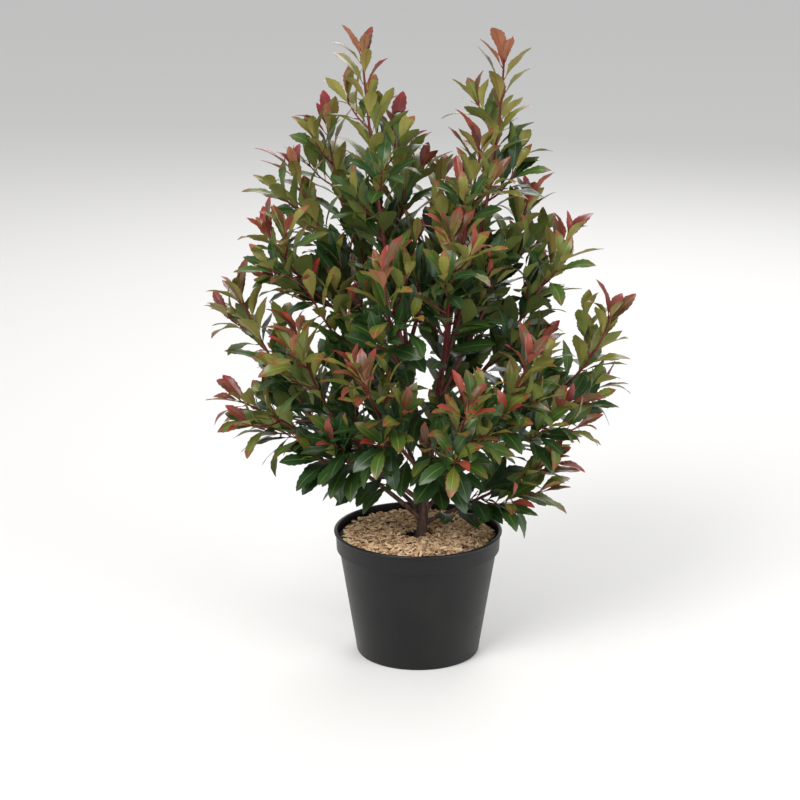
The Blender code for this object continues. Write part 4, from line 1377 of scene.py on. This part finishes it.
@dataclass
class LeafShape:
    """The one leaf mesh that every leaf is drawn from: its rows, columns and faces."""

    rows: int = 15
    upper: tuple[float, ...] = (-1.0, -0.86, -0.48, -0.06, 0.06, 0.48, 0.86, 1.0)
    lower: tuple[float, ...] = (-1.0, -0.07, 0.07, 1.0)
    thickness: float = 0.0003
    teeth: float = 0.065
    toothed: Pair = (0.28, 0.96)
    blunt: float = 0.07
    point: float = 0.02
    tipped_from: float = 0.70
    fullness: float = 1.2
    point_from: float = 0.9
    lift: float = 0.18
    curl: float = 1.6
    flattening: float = 0.4
    dish: float = 0.16
    waves: float = 11.0
    wave_share: float = 0.10
    stalk_radii: Pair = (0.00085, 0.00055)

    def widths(self) -> Array:
        """Works out the outline, with saw teeth on its outer part.

        Returns:
            The half width at each row against the widest.
        """
        u = np.linspace(0.0, 1.0, self.rows)
        before = (u / LEAF_WIDEST) ** self.fullness
        after = ((1.0 - u) / (1.0 - LEAF_WIDEST)) ** (self.fullness * (1.0 - LEAF_WIDEST) / LEAF_WIDEST)
        saw = np.where(np.arange(self.rows) % 2, self.teeth, -self.teeth)
        teeth = np.where((u > self.toothed[0]) & (u < self.toothed[1]), saw, 0.0)
        least = np.where(u > self.point_from, self.point, self.blunt)
        return np.maximum(before * after * (1 + teeth), least)

    def faces(self) -> tuple[Array, Array]:
        """Numbers the faces of one leaf: the upper side, the underside and the stalk.

        Returns:
            The quads, and the number of each quad's material.
        """
        quads, slots = [], []
        top, low = len(self.upper), len(self.lower)
        for row, k in itertools.product(range(self.rows - 1), range(top - 1)):
            a = row * top + k
            quads.append((a, a + 1, a + top + 1, a + top))
            margin = k in (0, top - 2) or row >= self.rows * self.tipped_from
            blade = LeafPart.TIP if margin else LeafPart.UPPER
            slots.append(LeafPart.RIB if k == top // 2 - 1 else blade)
        for row, k in itertools.product(range(self.rows - 1), range(low - 1)):
            a = self.rows * top + row * low + k
            quads.append((a + low, a + low + 1, a + 1, a))
            slots.append(LeafPart.RIB if k == 1 else LeafPart.UNDER)
        base = self.rows * (top + low)
        for k in range(4):
            quads.append((base + k, base + (k + 1) % 4, base + 4 + (k + 1) % 4, base + 4 + k))
            slots.append(LeafPart.STALK)
        return np.array(quads), np.array(slots)

    def points(self, places: Sequence[LeafPlace]) -> Array:
        """Draws every leaf.

        Args:
            places: where the leaves stand.

        Returns:
            An array of leaf, point and axis, with the points as the faces count them.
        """

        def every(name: str) -> Array:
            """One field of all the places, with a row for each."""
            return np.array([getattr(place, name) for place in places]).reshape(len(places), -1)

        root, along = every("root"), every("along")
        across = np.cross(along, every("face"))
        across /= np.linalg.norm(across, axis=1)[:, None]
        upward = np.cross(across, along)
        neck = root + along * (PETIOLE_LENGTH + every("radius") * 0.5)
        u = np.linspace(0.0, 1.0, self.rows)[None]
        step = (every("length") - PETIOLE_LENGTH) / (self.rows - 1)
        bend = every("recurve") * (self.lift - u**self.curl)

        def travelled(part: Array) -> Array:
            """How far the midrib has gone at each row, from the part of a step that counts."""
            return np.cumsum(np.pad(part[:, 1:] * step, ((0, 0), (1, 0))), axis=1)[..., None]

        line = neck[:, None] + along[:, None] * travelled(np.cos(bend))
        line = line + upward[:, None] * travelled(np.sin(bend))
        normal = upward[:, None] * np.cos(bend)[..., None] - along[:, None] * np.sin(bend)[..., None]
        half = (self.widths()[None] * every("width") / 2)[..., None]
        angle = (every("fold") * (1 - self.flattening * u))[..., None]
        wave = (np.sin(self.waves * u + every("phase")) * self.wave_share)[..., None]

        def sheet(columns: tuple[float, ...], drop: float) -> Array:
            """Draws one side of the blades.

            Args:
                columns: where its columns stand between the margins, from -1 to 1.
                drop: how far below the upper side its middle lies.

            Returns:
                The points, leaf by leaf and row by row.
            """
            v = np.array(columns)
            rise = half * (np.abs(v) * np.sin(angle) - self.dish * v**2 + v**2 * wave * np.sign(v))
            rise = rise - drop * (1 - np.abs(v))
            spread = half * v * np.cos(angle)
            points = line[:, :, None] + across[:, None, None] * spread[..., None]
            return (points + normal[:, :, None] * rise[..., None]).reshape(len(places), -1, 3)

        corners = ((1, 0), (0, 1), (-1, 0), (0, -1))
        rings = []
        for centre, radius in zip((root, neck), self.stalk_radii):
            ring = [centre + (across * a + upward * b) * radius for a, b in corners]
            rings.append(np.stack(ring, axis=1))
        return np.concatenate([sheet(self.upper, 0.0), sheet(self.lower, self.thickness), *rings], axis=1)


@dataclass
class Foliage:
    """All the leafy masses, as leafy stems and leaves joined by kind."""

    axes: dict[str, Axis]
    bark: Material
    step: float = 0.004
    stem_sides: int = 10
    twig_sides: int = 6
    swelling: float = 0.10
    swell_turn: float = 2.4
    age_low: float = 0.35
    age_loss: float = 2.5
    shape: LeafShape = field(default_factory=LeafShape)

    def stems(self, masses: Sequence[Mass]) -> None:
        """Builds the leafy stems and twigs, in one piece.

        Args:
            masses: the grown masses.
        """
        heap = Heap()
        for mass in masses:
            lines = [(mass.axis, mass.low, self.stem_sides)]
            for axis, low, sides in lines + [(twig, 0.0, self.twig_sides) for twig in mass.twigs]:
                shares = np.linspace(low, 1.0, max(4, int((1.0 - low) * axis.length / self.step)))
                swollen = 1 + self.swelling * np.sin(np.arange(len(shares)) * self.swell_turn)
                radii = axis.radius(shares) * swollen
                points, faces = tube_arrays(axis.at(shares), radii, sides, axis.side(low))
                age = self.age_low - self.age_loss * (points[:, 2] - POT_HEIGHT)
                heap.put(points, faces, 0, np.clip(age, 0.0, 1.0))
        place_piece(heap.build("leafy_stems_and_twigs", [self.bark]), LEAF_NODES)

    def leaves(self, masses: Sequence[Mass]) -> None:
        """Builds the leaves, in one piece or more for each kind.

        Args:
            masses: the grown masses.
        """
        quads, slots = self.shape.faces()
        most = MOST_TRIANGLES // (2 * len(quads))
        everything = [leaf for mass in masses for leaf in mass.leaves]
        for kind in Kind:
            tints = [tint for tint in TINTS if tint.kind is kind]
            found = [(tints.index(tint), spot) for tint, spot in everything if tint in tints]
            materials = [material for tint in tints for material in tint.materials()]
            for number, first in enumerate(range(0, len(found), most)):
                share = found[first : first + most]
                points = self.shape.points([spot for _, spot in share])
                shift = np.arange(len(share))[:, None, None] * points.shape[1]
                faces = (quads[None] + shift).reshape(-1, 4)
                used = np.array([tint for tint, _ in share])[:, None] * len(LeafPart) + slots[None]
                made = make_mesh(f"{kind.value}_leaves_{number + 1}", points.reshape(-1, 3), faces.tolist())
                for material in materials:
                    made.data.materials.append(material)
                made.data.polygons.foreach_set("material_index", used.reshape(-1))
                place_piece(made, LEAF_NODES)

    def build(self) -> None:
        """Grows every mass by the source's rule and builds all that stands for them."""
        room = Room(self.axes)
        masses = [Mass(index, shoot, self.axes[shoot.name], room) for index, shoot in enumerate(SHOOTS)]
        for mass in masses:
            mass.grow()
        LOG.info("%d leaves, %d twigs", sum(len(m.leaves) for m in masses), sum(len(m.twigs) for m in masses))
        self.stems(masses)
        self.leaves(masses)


# The studio


@dataclass(frozen=True)
class Lamp:
    """A soft square light that looks at the crown."""

    name: str
    place: tuple[float, float, float]
    size: float
    watts: float
    aim_height: float = 0.40

    def build(self) -> None:
        """Adds the light."""
        data = bpy.data.lights.new(self.name, "AREA")
        data.size = self.size
        data.energy = self.watts
        made = add_object(self.name, data)
        aim = UP * self.aim_height - np.array(self.place)
        made.location = self.place
        made.rotation_euler = (math.acos(-unit(aim)[2]), 0.0, math.atan2(aim[1], aim[0]) - math.pi / 2)


@dataclass
class Studio:
    """The camera at the photograph's place, the floor and the lights."""

    camera_at: tuple[float, float, float] = (-0.02142, -2.64330, 1.08804)
    pitch_down: float = math.radians(16.386)
    lens: float = 105.88
    sensor: float = 36.0
    sky: tuple[float, float, float, float] = (0.94, 0.95, 0.97, 1.0)
    sky_strength: float = 0.70
    floor_reach: float = 60.0
    floor_drop: float = 0.0002
    floor_colour: Colour = (0.76, 0.75, 0.73)
    lamps: tuple[Lamp, ...] = (
        Lamp("key_light", (-1.3, -1.9, 2.3), 1.6, 78.0),
        Lamp("fill_light", (1.9, -1.5, 1.3), 1.8, 34.0),
        Lamp("back_light", (0.5, 2.1, 1.9), 1.6, 26.0),
    )

    def camera(self) -> None:
        """Sets up the camera."""
        data = bpy.data.cameras.new("camera")
        data.lens = self.lens
        data.sensor_width = self.sensor
        made = add_object("camera", data)
        made.location = self.camera_at
        made.rotation_euler = (math.pi / 2 - self.pitch_down, 0.0, 0.0)
        bpy.context.scene.camera = made

    def build(self) -> None:
        """Sets up the camera, the lights, the world and the floor."""
        self.camera()
        for lamp in self.lamps:
            lamp.build()
        world = bpy.data.worlds.new("studio")
        world.use_nodes = True
        background = world.node_tree.nodes["Background"]
        background.inputs["Color"].default_value = self.sky
        background.inputs["Strength"].default_value = self.sky_strength
        bpy.context.scene.world = world
        bpy.context.scene.view_settings.view_transform = "Standard"
        reach, level = self.floor_reach, -self.floor_drop
        corners = [(x * reach, y * reach, level) for x, y in ((-1, -1), (1, -1), (1, 1), (-1, 1))]
        floor = make_mesh("floor", corners, [(0, 1, 2, 3)], smooth=False)
        floor.data.materials.append(plain("pale_floor", self.floor_colour, 0.8))


def main() -> None:
    """Builds the studio and then the plant, from the pot up."""
    Studio().build()
    Pot().build()
    PottingMix().build()
    ChipPile().build()
    axes = all_axes()
    bark = BarkFinish().material()
    Wood(axes, bark).build()
    Foliage(axes, bark).build()


if __name__ == "__main__":
    main()
